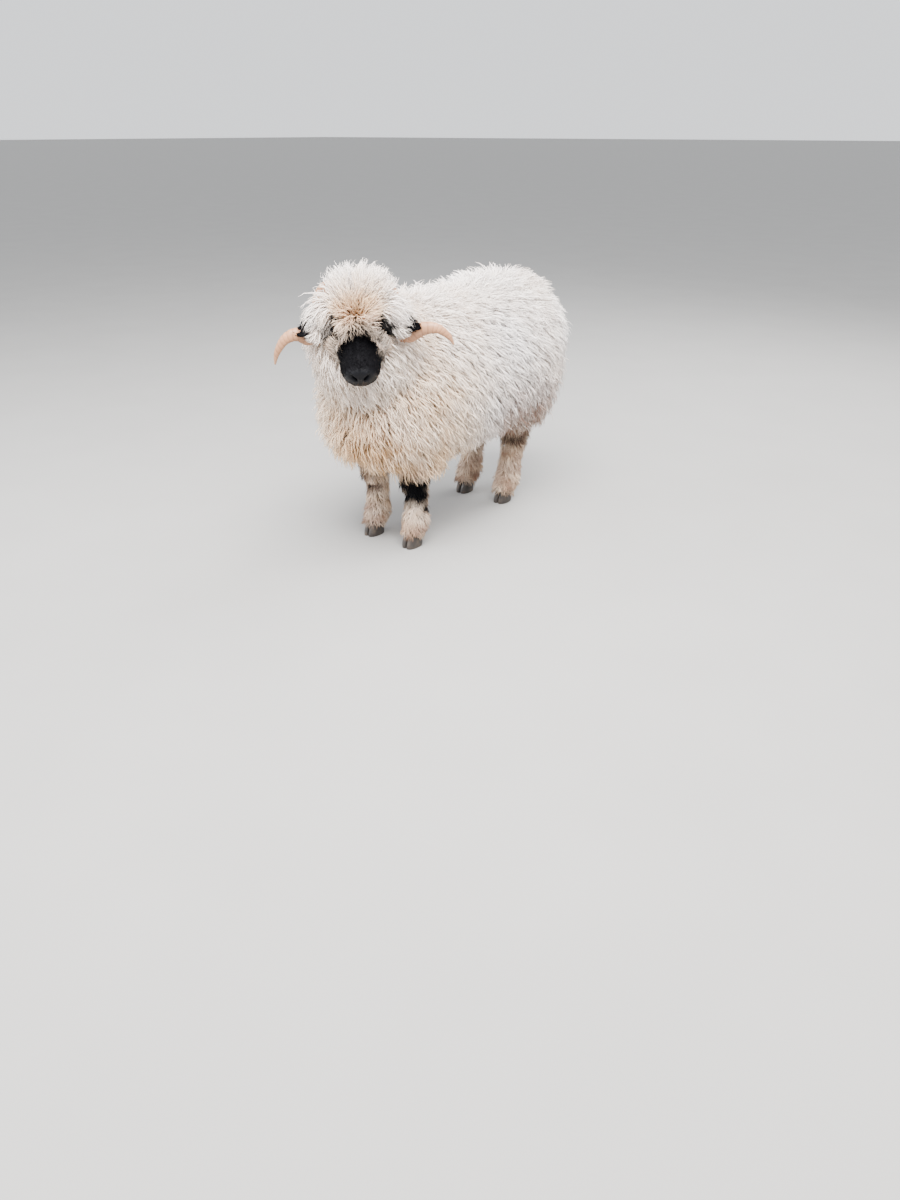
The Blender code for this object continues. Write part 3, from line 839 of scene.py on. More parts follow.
@dataclass
class Markings:
    """Where the coat is black, cream, muddy or golden. Skin and locks both read it.

    Attributes:
        body: The lofts that it marks.
        fine: Size of the fine ripple, which frays every edge.
        broad: Size of the broad ripple on the barrel.
        knee: Where the knee's black begins and is full, from below and from above.
        hock: Height of the dark hock's middle and its width.
        coronet: Where the dark hair above a hoof ends, and where it is full.
        muzzle: How far back the black of the muzzle reaches, below the bridge of the nose.
        bridge_reach: How much further it reaches on the bridge.
        bridge_half: Half the width of the bridge.
        ring: Where the black round an eye ends, and where it is full.
        beside_eye: The same for the dark wool of an ear beside the eye.
        beside_depth: How dark that wool is on the left and on the right.
        ear_tip: How far out an ear turns black, and where it is all black.
    """

    body: Body
    fine: float = 0.02
    broad: float = 0.09
    knee: tuple[float, float, float, float] = (0.135, 0.155, 0.285, 0.255)
    hock: Pair = (0.262, 0.035)
    coronet: Pair = (0.062, 0.050)
    muzzle: float = 0.070
    bridge_reach: float = 0.049
    bridge_half: float = 0.047
    ring: Pair = (0.044, 0.029)
    beside_eye: Pair = (0.035, 0.028)
    beside_depth: Pair = (0.985, 0.75)
    ear_tip: Pair = (0.112, 0.140)

    def ripple(self, points: Array, size: float) -> Array:
        """A smooth irregular pattern over space.

        Args:
            points: Where it is read.
            size: About how large its patches are.

        Returns:
            Values between -1 and 1.
        """
        a, b, c = (points / size).T
        wave = np.sin(a * 1.7 + 2.1 * np.sin(b * 1.3 + 0.7)) + np.sin(b * 1.9 + 1.7 * np.sin(c * 1.1))
        return (wave + np.sin(c * 2.3 + 1.9 * np.sin(a * 0.9 + 1.3))) / 3

    def read(self, points: Array, region: Region) -> Array:
        """Reads the four masks at points of the skin.

        Args:
            points: Places on the skin, in the row frame.
            region: The part of the body that they belong to.

        Returns:
            One row for each point: black, cream, mud and gold, each from 0 to 1.
        """
        rough = self.ripple(points, self.fine)
        own = points - self.body.shift
        if region is Region.HEAD:
            masks = self.on_head(points, rough)
        elif region is Region.EAR:
            masks = self.on_ear(points, rough)
        elif region is Region.FRONT_LEG:
            masks = self.on_fore_leg(own, rough)
        elif region is Region.HIND_LEG:
            masks = self.on_hind_leg(own, rough)
        else:
            masks = self.on_trunk(own, rough, self.ripple(points, self.broad))
        return np.clip(np.stack(masks, 1), 0, 1)

    @staticmethod
    def on_trunk(own: Array, rough: Array, broad: Array) -> Masks:
        """Masks of barrel, neck and tail: cream breast, golden stain, muddy hem.

        Args:
            own: Points in the animal's own frame.
            rough: A fine ripple.
            broad: A broad ripple.

        Returns:
            Black, cream, mud and gold.
        """
        x, y, z = own.T
        cream = 0.12 + 0.60 * rise(0.06, -0.30, y) * rise(0.94, 0.44, z) + 0.12 * broad
        cream += 0.32 * rise(0.50, 0.33, z)
        hem = rise(0.62, 0.36, z) * rise(-0.06, 0.12, y)
        mud = (0.22 * rise(0.42, 0.30, z) + 0.80 * hem) * (0.70 + 0.7 * rough)
        gold = 0.95 * bell(x, 0.045, 0.065) * rise(-0.24, -0.35, y)
        gold *= rise(0.58, 0.36, z) * (0.65 + 0.5 * rough)
        return 0 * x, cream, mud, gold

    def above_hoof(self, height: Array) -> Array:
        """The dark hair just above a hoof."""
        return 0.45 * rise(*self.coronet, height)

    def on_fore_leg(self, own: Array, rough: Array) -> Masks:
        """Masks of a fore leg: a black knee on the left, dark streaks on the right.

        Args:
            own: Points in the animal's own frame.
            rough: A fine ripple.

        Returns:
            Black, cream, mud and gold.
        """
        x, y, z = own.T
        fray = 0.016 * rough
        knee = rise(*self.knee[:2], z + fray) * rise(*self.knee[2:], z - fray)
        front = rise(0.030, 0.000, y - EWE.front_foot[1] - 0.018)
        left = 1.1 * knee * front + 0.6 * rough * knee
        right = (0.25 + 0.75 * rough) * knee * front
        black = np.maximum(np.where(x > 0, left, right), self.above_hoof(z))
        mud = np.clip(0.36 + 0.52 * rough + 0.20 * rise(0.12, 0.06, z), 0, 0.8)
        return black, 0.75 + 0 * x, mud, 0.06 + 0 * x

    def on_hind_leg(self, own: Array, rough: Array) -> Masks:
        """Masks of a hind leg: a dark hock in muddy cream.

        Args:
            own: Points in the animal's own frame.
            rough: A fine ripple.

        Returns:
            Black, cream, mud and gold.
        """
        z = own[:, 2]
        hock = bell(z, *self.hock)
        black = np.maximum((0.55 + 0.4 * rough) * hock, self.above_hoof(z))
        mud = np.clip(0.38 + 0.50 * rough + 0.25 * rise(0.26, 0.36, z), 0, 0.85)
        return black, 0.7 + 0 * z, mud, 0.08 + 0 * z

    def on_head(self, points: Array, rough: Array) -> Masks:
        """Masks of the head: black muzzle and eyes, cream cheeks, tan brow.

        Args:
            points: Points in the row frame.
            rough: A fine ripple.

        Returns:
            Black, cream, mud and gold.
        """
        x, y, z = self.body.head.measure(points).T
        edge = self.muzzle + 0.012 * rise(-0.02, 0.02, z)
        edge = edge + self.bridge_reach * self.bridge(x, z) + 0.010 * rough
        black = rise(edge + 0.024, edge - 0.014, y)
        away = self.body.head.from_eyes(points)
        black = np.maximum(black, rise(*self.ring, away + 0.004 * rough))
        brow = bell(y, 0.172, 0.034) * bell(x, 0, 0.050) * rise(0.03, 0.06, z)
        cream = 0.12 + 0.75 * brow + 0.50 * rise(0.165, 0.10, y)
        smoky = 0.42 * bell(y, edge + 0.020, 0.016) * (0.7 + 0.6 * rough)
        return black, cream, smoky, 0.55 * brow

    def on_ear(self, points: Array, rough: Array) -> Masks:
        """Masks of an ear: pale wool at its root, dark beside the eye, and a black tip.

        Args:
            points: Points in the row frame.
            rough: A fine ripple.

        Returns:
            Black, cream, mud and gold.
        """
        x = self.body.head.measure(points)[:, 0]
        away = self.body.head.from_eyes(points)
        beside = rise(*self.beside_eye, away + 0.004 * rough) * np.where(x > 0, *self.beside_depth)
        black = np.maximum(rise(*self.ear_tip, np.abs(x) + 0.010 * rough), beside)
        return black, 0.30 + 0 * x, 0 * x, 0 * x

    def bridge(self, x: Array, z: Array) -> Array:
        """A dome over the bridge of the nose, 1 at its middle."""
        return np.clip(1 - np.abs(x / self.bridge_half) ** 3, 0, 1) * rise(0.008, 0.036, z)


@dataclass(frozen=True)
class CoatPlan:
    """How the coat of one region grows.

    Attributes:
        gap: Distance between roots.
        length: Length of a lock.
        width: Half width of a lock at its fullest.
        lift: How far a lock stands up from the skin, from 0 to 1.
        wave: Half width of its curl.
        turns: Number of turns in its curl.
    """

    gap: float
    length: float
    width: float
    lift: float
    wave: float
    turns: float


PLANS = {
    Region.TORSO: CoatPlan(0.0063, 0.096, 0.0034, 0.68, 0.0068, 0.95),
    Region.NECK: CoatPlan(0.0058, 0.088, 0.0033, 0.68, 0.0066, 0.95),
    Region.HEAD: CoatPlan(0.0036, 0.064, 0.0022, 0.64, 0.0058, 0.90),
    Region.TAIL: CoatPlan(0.0058, 0.078, 0.0030, 0.50, 0.0052, 0.95),
    Region.FRONT_LEG: CoatPlan(0.0048, 0.037, 0.0020, 0.52, 0.0036, 0.90),
    Region.HIND_LEG: CoatPlan(0.0050, 0.041, 0.0021, 0.52, 0.0036, 0.90),
    Region.EAR: CoatPlan(0.0032, 0.012, 0.0010, 0.32, 0.0008, 0.8),
}


@dataclass
class Locks:
    """Roots of locks and their forms, one row each."""

    root: Array
    normal: Array
    lie: Array
    length: Array
    width: Array
    lift: Array
    wave: Array
    turns: Array
    mark: Array
    uv: Array
    seed: Array

    def part(self, keep: Array) -> Locks:
        """The chosen rows."""
        return Locks(**{name: value[keep] for name, value in vars(self).items()})

    @staticmethod
    def joined(several: Sequence[Locks]) -> Locks:
        """All rows of several."""
        names = vars(several[0])
        return Locks(**{n: np.concatenate([getattr(one, n) for one in several]) for n in names})

    def spine(self, share: Array) -> Array:
        """Finds points along the middle of each lock.

        Args:
            share: The place on each lock, from 0 at its root to 1 at its tip.

        Returns:
            One point for each lock.
        """
        climb = self.length * self.lift * (1.75 * share - 0.75 * share**2)
        run = self.length * np.sqrt(1 - self.lift**2) * (0.45 * share + 0.55 * share**2)
        sunk = np.minimum(0.0020, 0.10 * self.length)
        return self.root + self.normal * column(climb - sunk) + self.lie * column(run)


@dataclass
class Fleece:
    """Grows the coat on the lofts and turns it into solid mesh pieces.

    Attributes:
        body: The lofts that it grows on.
        markings: What colours it.
        skin: The finished skin, on which every root must lie.
        shares: Where the rings of a lock lie, from root to tip.
        fullness: A lock's width at each ring.
        staple: Number of locks that hang together.
        draw_in: How strongly their tips are drawn together.
        strays: The share of locks that hang loose.
        down: The share of short broad locks that close the fleece below the long ones.
        samples: The number of places at which a loft's area is measured.
        nearness: How near to the skin a root must lie.
        patch: Half the width, and the height, of a lock's patch in the coat's map.
        phases: How widely the starts of the curls differ, in radians.
        most: The most triangles in one piece.
        draw: The source of chance, seeded.
    """

    body: Body
    markings: Markings
    skin: Object
    shares: tuple[float, ...] = (0.0, 0.25, 0.50, 0.73, 0.92)
    fullness: tuple[float, ...] = (1.00, 1.10, 0.86, 0.56, 0.22)
    staple: int = 8
    draw_in: float = 0.40
    strays: float = 0.08
    down: float = 0.19
    samples: int = 4000
    nearness: float = 0.0025
    patch: Pair = (0.0012, 0.0030)
    phases: float = 40.0
    most: int = 190000
    draw: np.random.Generator = field(default_factory=lambda: np.random.default_rng(7))

    def grow(self) -> Locks:
        """Grows the locks of every loft.

        Returns:
            All locks.
        """
        polygons = [p.vertices for p in self.skin.data.polygons]
        tree = BVHTree.FromPolygons([v.co for v in self.skin.data.vertices], polygons)
        grown = []
        for number, (name, loft) in enumerate(self.body.lofts.items()):
            locks = self.on_loft(loft, number, tree)
            log.info("%s: %d locks", name, len(locks.root))
            grown.append(locks)
        return Locks.joined(grown)

    def on_loft(self, loft: Loft, number: int, tree: BVHTree) -> Locks:
        """Grows the locks of one loft, where it shows in the skin.

        Args:
            loft: The loft.
            number: Its field in the coat's map.
            tree: The skin's faces.

        Returns:
            Its locks.
        """
        plan, draw = PLANS[loft.region], self.draw
        span = loft.end - loft.start
        some = loft.start + draw.random(self.samples) * span
        area = loft.area(some, draw.random(self.samples) * math.tau)
        wanted = area.mean() * span * math.tau / plan.gap**2
        most, spare, margin = area.max(), 1.15, 1.02
        tries = int(wanted * most / area.mean() * spare)
        u, angle = loft.start + draw.random(tries) * span, draw.random(tries) * math.tau
        fair = draw.random(tries) < loft.area(u, angle) / (most * margin)
        u, angle = u[fair], angle[fair]
        root, normal = loft.points(u, angle), loft.normals(u, angle)
        close = np.array([tree.find_nearest(Vector(p))[3] < self.nearness for p in root])
        if loft.region is Region.TORSO:
            close &= draw.random(len(root)) < 1 - 0.45 * rise(-0.45, -0.85, normal[:, 2])
        uv = self.place_in_map(number, (u - loft.start) / span, angle / math.tau)
        return self.formed(loft.region, root[close], normal[close], uv[close])

    @staticmethod
    def place_in_map(number: int, along: Array, round_it: Array) -> Array:
        """Gives each loft a field of the coat's map, unrolled along it and round it.

        Args:
            number: The field's number.
            along: Places along the loft, from 0 to 1.
            round_it: Places round it, from 0 to 1.

        Returns:
            Places in the map.
        """
        fields, rim = 4, 0.05
        inside = rim + (1 - 2 * rim) * np.stack((round_it, along), 1)
        return (inside + (number % fields, number // fields)) / fields

    def formed(self, region: Region, root: Array, normal: Array, uv: Array) -> Locks:
        """Gives locks their lie, size and markings.

        Args:
            region: The part of the body that they grow on.
            root: Their roots.
            normal: The skin's directions there.
            uv: Their places in the coat's map.

        Returns:
            The locks that aren't bare.
        """
        plan, draw, count = PLANS[region], self.draw, len(root)
        lie, size, more = self.comb(region, root, normal)
        stray = draw.random(count) < self.strays
        barrel = region in (Region.TORSO, Region.NECK)
        under = (draw.random(count) < self.down) * (size > 0.5) * barrel
        lie = unit(lie) + 0.20 * draw.normal(size=(count, 3))
        lie = unit(lie - normal * (lie * normal).sum(1, keepdims=True))
        thin = (0.30 + 0.70 * np.clip(size * 1.2, 0, 1)) * np.where(stray, 0.7, 1.0)
        if region is Region.EAR:
            thin = thin * size**0.7
        lift = plan.lift * (0.85 + 0.3 * draw.random(count)) + more + 0.10 * stray - 0.24 * under
        locks = Locks(
            root=root,
            normal=normal,
            lie=lie,
            length=plan.length * size * (0.86 + 0.28 * draw.random(count)) * (1 - 0.36 * under),
            width=plan.width * thin * (0.8 + 0.4 * draw.random(count)) * (1 + 1.7 * under),
            lift=np.clip(lift, 0.12, 0.95),
            wave=plan.wave * size * (0.6 + 0.8 * draw.random(count)) * (1 - 0.5 * under),
            turns=plan.turns * (0.8 + 0.4 * draw.random(count)),
            mark=self.markings.read(root, region),
            uv=uv,
            seed=np.where(stray, 1.0, 0.98 * draw.random(count)),
        )
        return locks.part(size > 0.02)

    def comb(self, region: Region, root: Array, normal: Array) -> tuple[Array, Array, Array]:
        """Says how locks lie.

        Args:
            region: The part of the body that they grow on.
            root: Their roots.
            normal: The skin's directions there.

        Returns:
            The way that they lie, their length as a share of the plan's, and what is added to
            their lift.
        """
        x, y, z = (root - self.body.shift).T
        even, none = np.ones(len(root)), np.zeros(len(root))
        if region is Region.HEAD:
            return self.comb_head(root)
        if region is Region.EAR:
            head = self.body.head
            across = head.measure(root)[:, 0]
            shaggy = rise(0.152, 0.100, np.abs(across))
            outward = head.axes[0] * column(np.sign(across))
            lie = outward * column(1 - 0.4 * shaggy) + (head.facing * 0.25 - UP * 0.8) * column(shaggy)
            return lie, 1 + 2.6 * shaggy, 0.25 * shaggy
        if region in (Region.TORSO, Region.NECK):
            under = rise(-0.5, -0.9, normal[:, 2])
            lie = np.stack((np.tanh(x / 0.07) * 0.35, 0.25 + 0.9 * under, -even), 1)
            return lie, 1 - 0.40 * under, none
        size = 0.70 + 0.30 * rise(0.05, 0.09, z) + 0.55 * rise(0.20, 0.33, z)
        if region is Region.TAIL:
            size = even
        if region is Region.FRONT_LEG:
            front = rise(0.0, -0.02, y - EWE.front_foot[1] - 0.012)
            size = size * (1 - 0.75 * bell(z, 0.185, 0.020) * front)
        return np.tile(-UP, (len(root), 1)), size, none

    def comb_head(self, root: Array) -> tuple[Array, Array, Array]:
        """Combs the head: short on the muzzle, long on cheeks and crown, and down over the ears.

        Args:
            root: The locks' roots.

        Returns:
            The same three as for the other regions.
        """
        head = self.body.head
        x, y, z = head.measure(root).T
        wide = np.abs(x)
        left, back, top = head.axes
        outward = left * column(np.sign(x))
        away = head.from_eyes(root)
        whorl_at = head.place(*head.whorl)
        whorl = bell(np.linalg.norm(root - whorl_at, axis=1), 0, 0.030)
        tousle = [self.markings.ripple(root + 0.1 * k, 0.010) for k in range(3)]
        crown_lie = unit(root - whorl_at) + 0.7 * column(whorl) * np.stack(tousle, 1)
        crown_lie = unit(crown_lie + 0.32 * left)
        cheek_lie = outward * 0.60 + back * 0.35 - UP * 0.55
        droop = rise(0.135, 0.170, y)
        temple_lie = outward * 0.80 + head.facing * 0.50 + UP * column(0.10 - 0.65 * droop)
        muzzle_lie = back * 0.85 + outward * 0.35 + top * 0.10
        over = rise(0.022, 0.050, z)
        temple = rise(0.038, 0.054, wide) * rise(0.135, 0.155, y) * rise(0.235, 0.215, y)
        temple *= rise(-0.020, 0.005, z) * rise(0.085, 0.068, z)
        lie = crown_lie * column(over) + cheek_lie * column(1 - over)
        for other, share in (
            (temple_lie, temple),
            (muzzle_lie, rise(0.135, 0.100, y)),
            (unit(root - head.nearer_eye(root)), rise(0.058, 0.032, away)),
        ):
            lie = lie * column(1 - share) + other * column(share)
        edge = 0.046 + 0.046 * self.markings.bridge(x, z)
        woolly = rise(edge, edge + 0.050, y)
        crown = rise(0.180, 0.215, y) * rise(0.02, 0.06, z)
        near_eye = 0.12 + 0.40 * rise(0.026, 0.044, away) + 0.48 * rise(0.036, 0.064, away)
        leaning = 0.22 * rise(-0.01, 0.04, x) * crown
        size = (0.68 + 0.46 * crown + leaning + 0.70 * temple) * woolly * near_eye
        size += 0.14 * rise(0.013, 0.030, y + 0.25 * np.maximum(-z, 0))
        size = np.where(away < EWE.eye_radius + 0.0060, 0, size)
        lift = temple * (0.15 - 0.30 * droop) + 0.12 * crown + 0.20 * whorl - 0.34 * (1 - woolly)
        return lie, size, lift

    def gathered(self, locks: Locks) -> Array:
        """Draws the tips of neighbouring locks together, into staples.

        Args:
            locks: All locks.

        Returns:
            How far each tip moves.
        """
        tips = locks.spine(np.ones(len(locks.root)))
        count = len(tips)
        leaders = self.draw.choice(count, count // self.staple, replace=False)
        tree = KDTree(len(leaders))
        for place, lead in enumerate(leaders):
            tree.insert(locks.root[lead], place)
        tree.balance()
        nearest = np.array([leaders[tree.find(Vector(p))[1]] for p in locks.root])
        pull = tips[nearest] - tips
        reach = np.linalg.norm(pull, axis=1)
        held = np.minimum(1, 0.55 * locks.length / np.maximum(reach, 1e-6))
        held = np.where(locks.seed == 1.0, 0, held)
        return pull * column(self.draw_in * held)

    def mesh(self, name: str, locks: Locks, pull: Array) -> Object:
        """Turns locks into one mesh of closed, tapered, curling tubes.

        Args:
            name: The piece's name.
            locks: Its locks.
            pull: How far each tip is drawn in.

        Returns:
            The new piece.
        """
        count, rings = len(locks.root), len(self.shares)
        per = rings * 3 + 1
        across = unit(np.cross(locks.normal, locks.lie))
        phase = locks.seed * self.phases
        wide, high = self.patch
        spots = np.empty((count, per, 3), np.float32)
        places = np.empty((count, per, 2), np.float32)
        along = np.ones((count, per), np.float32)
        for k, (share, width) in enumerate(zip(self.shares, self.fullness)):
            here = np.full(count, share)
            turn = math.tau * locks.turns * share + phase
            swing = locks.wave * min(1.0, 1.8 * share)
            middle = locks.spine(here) + pull * share**2
            middle += across * column(swing * np.sin(turn))
            middle += locks.normal * column(swing * 0.7 * np.cos(turn))
            ahead = locks.spine(here + 0.05) - locks.spine(here - 0.05) + pull * (0.2 * share)
            out = unit(np.cross(unit(ahead), across))
            for corner in range(3):
                angle = math.tau * corner / 3 + phase
                spread = across * column(np.cos(angle)) + out * column(0.75 * np.sin(angle))
                at = 3 * k + corner
                spots[:, at] = middle + spread * column(locks.width * width)
                places[:, at] = locks.uv + (wide * (corner - 1), high * (share - 0.5))
            along[:, 3 * k : 3 * k + 3] = share
        spots[:, -1] = locks.spine(np.ones(count)) + pull
        places[:, -1] = locks.uv + (0.0, 0.5 * high)
        grain = np.zeros((count * per, 4))
        grain[:, 0] = along.reshape(-1)
        grain[:, 1] = np.repeat(locks.seed, per)
        grain[:, 3] = 1
        data = self.tubes(name, spots, places)
        write_colours(data, "mark", np.repeat(locks.mark, per, axis=0))
        write_colours(data, "strand", grain)
        data.shade_smooth()
        return link(name, data)

    def tubes(self, name: str, spots: Array, places: Array) -> Mesh:
        """Joins the rings of every lock into faces.

        Args:
            name: The mesh's name.
            spots: Points by lock, ring and corner, with the tip last.
            places: Their places in the coat's map.

        Returns:
            The mesh, with its map.
        """
        count, per, _ = spots.shape
        rings = len(self.shares)
        one = [(0, 2, 1)]
        for k in range(rings - 1):
            for corner in range(3):
                a, b = 3 * k + corner, 3 * k + (corner + 1) % 3
                one += [(a, b, b + 3), (a, b + 3, a + 3)]
        last = 3 * (rings - 1)
        one += [(last + c, last + (c + 1) % 3, per - 1) for c in range(3)]
        faces = np.array(one)[None] + (np.arange(count) * per)[:, None, None]
        faces = faces.reshape(-1, 3).astype(np.int32)
        data = bpy.data.meshes.new(name)
        data.vertices.add(count * per)
        data.vertices.foreach_set("co", spots.reshape(-1))
        data.loops.add(faces.size)
        data.loops.foreach_set("vertex_index", faces.reshape(-1))
        data.polygons.add(len(faces))
        data.polygons.foreach_set("loop_start", np.arange(0, faces.size, 3, dtype=np.int32))
        data.update(calc_edges=True)
        layer = data.uv_layers.new(name="OFBake")
        layer.data.foreach_set("uv", places.reshape(-1, 2)[faces.reshape(-1)].reshape(-1))
        return data

    def pieces(self) -> list[Object]:
        """Builds the whole coat, cut from front to rear into pieces of a fair size.

        Returns:
            The pieces.
        """
        locks = self.grow()
        pull = self.gathered(locks)
        per_lock = 6 * (len(self.shares) - 1) + 4
        count = math.ceil(len(locks.root) * per_lock / self.most)
        order = np.argsort(locks.root[:, 1], kind="stable")
        made = []
        for number, chosen in enumerate(np.array_split(order, count)):
            made.append(self.mesh(f"fleece_{number + 1}", locks.part(chosen), pull[chosen]))
        log.info("%d locks, %d triangles", len(locks.root), len(locks.root) * per_lock)
        return made


@dataclass
class Skin:
    """One skin for all of the flesh.

    Attributes:
        body: The lofts that it joins.
        markings: What colours it.
        opening: Half length, depth and half height of the gap between the lids.
        clearance: The gap between an eyeball and its socket.
        fineness: Rings and points in a ring, for each region.
    """

    body: Body
    markings: Markings
    opening: Point = (0.0128, 0.0090, 0.0066)
    clearance: float = 0.0003
    fineness: dict[Region, tuple[int, int]] = field(
        default_factory=lambda: {
            Region.TORSO: (60, 64),
            Region.NECK: (30, 48),
            Region.HEAD: (160, 160),
            Region.TAIL: (24, 20),
            Region.FRONT_LEG: (48, 28),
            Region.HIND_LEG: (48, 28),
            Region.EAR: (36, 32),
        }
    )

    def build(self) -> Object:
        """Builds the skin with lids round the eyes, and writes its markings.

        Returns:
            The skin.
        """
        lofts = self.body.lofts
        parts = {name: loft.mesh(name, *self.fineness[loft.region]) for name, loft in lofts.items()}
        skin = parts.pop("head")
        eye = self.body.head.eye
        combine(skin, [self.ball(EWE.eye_radius + EWE.lid, eye(side)) for side in Side], "UNION")
        cuts = [self.ball(EWE.eye_radius + self.clearance, eye(side)) for side in Side]
        cuts += [self.slit(side) for side in Side]
        combine(skin, cuts, "DIFFERENCE")
        combine(skin, list(parts.values()), "UNION")
        skin.name = skin.data.name = "skin"
        skin.data.materials.clear()
        self.write_markings(skin.data)
        skin.data.shade_smooth()
        log.info("skin: %d points", len(skin.data.vertices))
        return skin

    @staticmethod
    def ball(radius: float, place: Array, shape: Matrix | None = None) -> Object:
        """Builds a fine ball as a tool for lids and sockets.

        Args:
            radius: Its radius.
            place: Its middle.
            shape: A matrix that stretches and turns it, or None.

        Returns:
            The new object.
        """
        made = bmesh.new()
        bmesh.ops.create_icosphere(made, subdivisions=4, radius=radius)
        if shape:
            bmesh.ops.transform(made, matrix=shape.to_4x4(), verts=made.verts)
        bmesh.ops.translate(made, vec=Vector(place), verts=made.verts)
        bmesh.ops.recalc_face_normals(made, faces=made.faces)
        return to_object("tool", made)

    def slit(self, side: Side) -> Object:
        """Builds the almond between the lids of one eye.

        Args:
            side: The side that the eye is on.

        Returns:
            The tool that cuts it.
        """
        head = self.body.head
        look, along = head.look(side), head.slit(side)
        long, deep, high = self.opening
        shape = np.stack((along * long, look * deep, np.cross(along, look) * high), 1)
        return self.ball(1.0, head.eye(side) + look * EWE.eye_radius, Matrix(shape.tolist()))

    def write_markings(self, data: Mesh) -> None:
        """Writes the coat's masks and the bare nose on the skin's points.

        Args:
            data: The skin's mesh.
        """
        spots = read_points(data)
        best = np.full(len(spots), np.inf)
        marks = np.zeros((len(spots), 4))
        for loft in self.body.lofts.values():
            rows = loft.rows(np.linspace(0, loft.top, 40))
            reach = rows[:, 9:12].max(1)
            away = (np.linalg.norm(spots[:, None] - rows[None, :, 0:3], axis=2) / reach).min(1)
            closer = away < best
            marks[closer] = self.markings.read(spots[closer], loft.region)
            best[closer] = away[closer]
        write_colours(data, "mark", marks)
        _, y, z = self.body.head.measure(spots).T
        nose = np.zeros((len(spots), 4))
        nose[:, 0] = rise(0.030, 0.016, y + 0.25 * np.maximum(-z, 0))
        write_colours(data, "bare", nose)


@dataclass(frozen=True)
class Horn:
    """One horn, an open curl up from the crown, back, down behind the ear and out.

    Attributes:
        side: The side that it is on.
        path: Points to the side, to the rear and up, from between the eyes.
        girths: Half the horn's thickness at each point.
        curled: The number of points in its first curl, which turn about their middle.
        flatness: Its thickness outward from the curl, as a share of that across.
        rings: Number of growth rings for each station of the path.
        ring_depth: Depth of the grooves, as a share of the girth.
        fine_depth: Depth of the fine furrows between them, in the same way.
        fade: The stations at which the furrows end, and begin to fade.
        grid: Rings and points in a ring of its mesh.
    """

    side: Side
    path: tuple[Point, ...]
    girths: tuple[float, ...] = (
        0.026, 0.026, 0.0255, 0.025, 0.0245, 0.0235, 0.0215, 0.0185, 0.0140, 0.0085, 0.0030,
    )
    curled: int = 6
    flatness: float = 0.80
    rings: float = 2.8
    ring_depth: float = 0.062
    fine_depth: float = 0.014
    fade: Pair = (9.6, 8.0)
    grid: tuple[int, int] = (280, 28)

    def loft(self, head: Head) -> Loft:
        """Lays the horn's stations along its path.

        Args:
            head: The head that it grows on.

        Returns:
            The horn's loft.
        """
        left = head.axes[0] * self.side.value
        eyes = head.place(0, EWE.eye_at[1], EWE.eye_at[2])
        spots = [eyes + left * x - head.facing * y + UP * z for x, y, z in self.path]
        curl = np.mean(spots[: self.curled], axis=0)
        stations = []
        for k, (spot, girth) in enumerate(zip(spots, self.girths)):
            ahead = unit(spots[min(k + 1, len(spots) - 1)] - spots[max(k - 1, 0)])
            over = curl + left * (0.7 * ((spot - curl) @ left)) - UP * 0.06
            outer = spot - (curl if k < self.curled else over)
            outer = unit(outer - ahead * (outer @ ahead))
            across = np.cross(ahead, outer)
            thin = girth * self.flatness
            stations.append(Station(spot, outer, across, thin, girth, girth, 2.2))
        tip = spots[-1] + unit(spots[-1] - spots[-2]) * 0.004
        return Loft(Region.HEAD, stations, None, tip)

    def build(self, head: Head) -> Object:
        """Builds the horn, and draws it in between its growth rings.

        Args:
            head: The head that it grows on.

        Returns:
            The horn, with its place from root to tip and its rings stored for the finish.
        """
        rows, columns = self.grid
        loft = self.loft(head)
        thing = loft.mesh(f"horn_{self.side.word}_shaft", rows, columns)
        u = np.repeat(loft.places(rows), columns)
        angle = np.tile(np.linspace(0, math.tau, columns, endpoint=False), rows)
        wander = 0.30 * np.sin(angle + u * 0.7) + 0.25 * np.sin(u * 2.3)
        ring = np.abs(np.sin((u * self.rings + wander) * math.pi)) ** 0.5
        fine = 0.5 + 0.5 * np.sin(u * 60 + 2.0 * np.sin(angle * 2))
        fade = rise(*self.fade, u)
        shrink = 1 - fade * (self.ring_depth * (1 - ring) + self.fine_depth * fine)
        spots = read_points(thing.data)
        middles = loft.rows(u)[:, 0:3]
        spots[: len(u)] = middles + (spots[: len(u)] - middles) * column(shrink)
        write_points(thing.data, spots)
        grain = np.ones((len(spots), 4))
        grain[: len(u), 0] = u / loft.end
        grain[: len(u), 1] = ring
        write_colours(thing.data, "strand", grain)
        return thing


HORN_ROOT = (
    (0.036, 0.018, 0.090),
    (0.060, 0.056, 0.104),
    (0.088, 0.094, 0.086),
    (0.105, 0.112, 0.040),
)
LEFT_TURN = (
    (0.110, 0.104, -0.010),
    (0.118, 0.070, -0.038),
    (0.146, 0.038, -0.034),
    (0.184, 0.020, -0.013),
    (0.222, 0.012, -0.014),
    (0.252, 0.014, -0.036),
    (0.266, 0.018, -0.058),
)
RIGHT_TURN = (
    (0.110, 0.104, 0.000),
    (0.116, 0.070, -0.028),
    (0.140, 0.036, -0.026),
    (0.172, 0.018, -0.010),
    (0.204, 0.010, -0.022),
    (0.228, 0.012, -0.056),
    (0.236, 0.018, -0.086),
)
HORNS = (Horn(Side.LEFT, HORN_ROOT + LEFT_TURN), Horn(Side.RIGHT, HORN_ROOT + RIGHT_TURN))


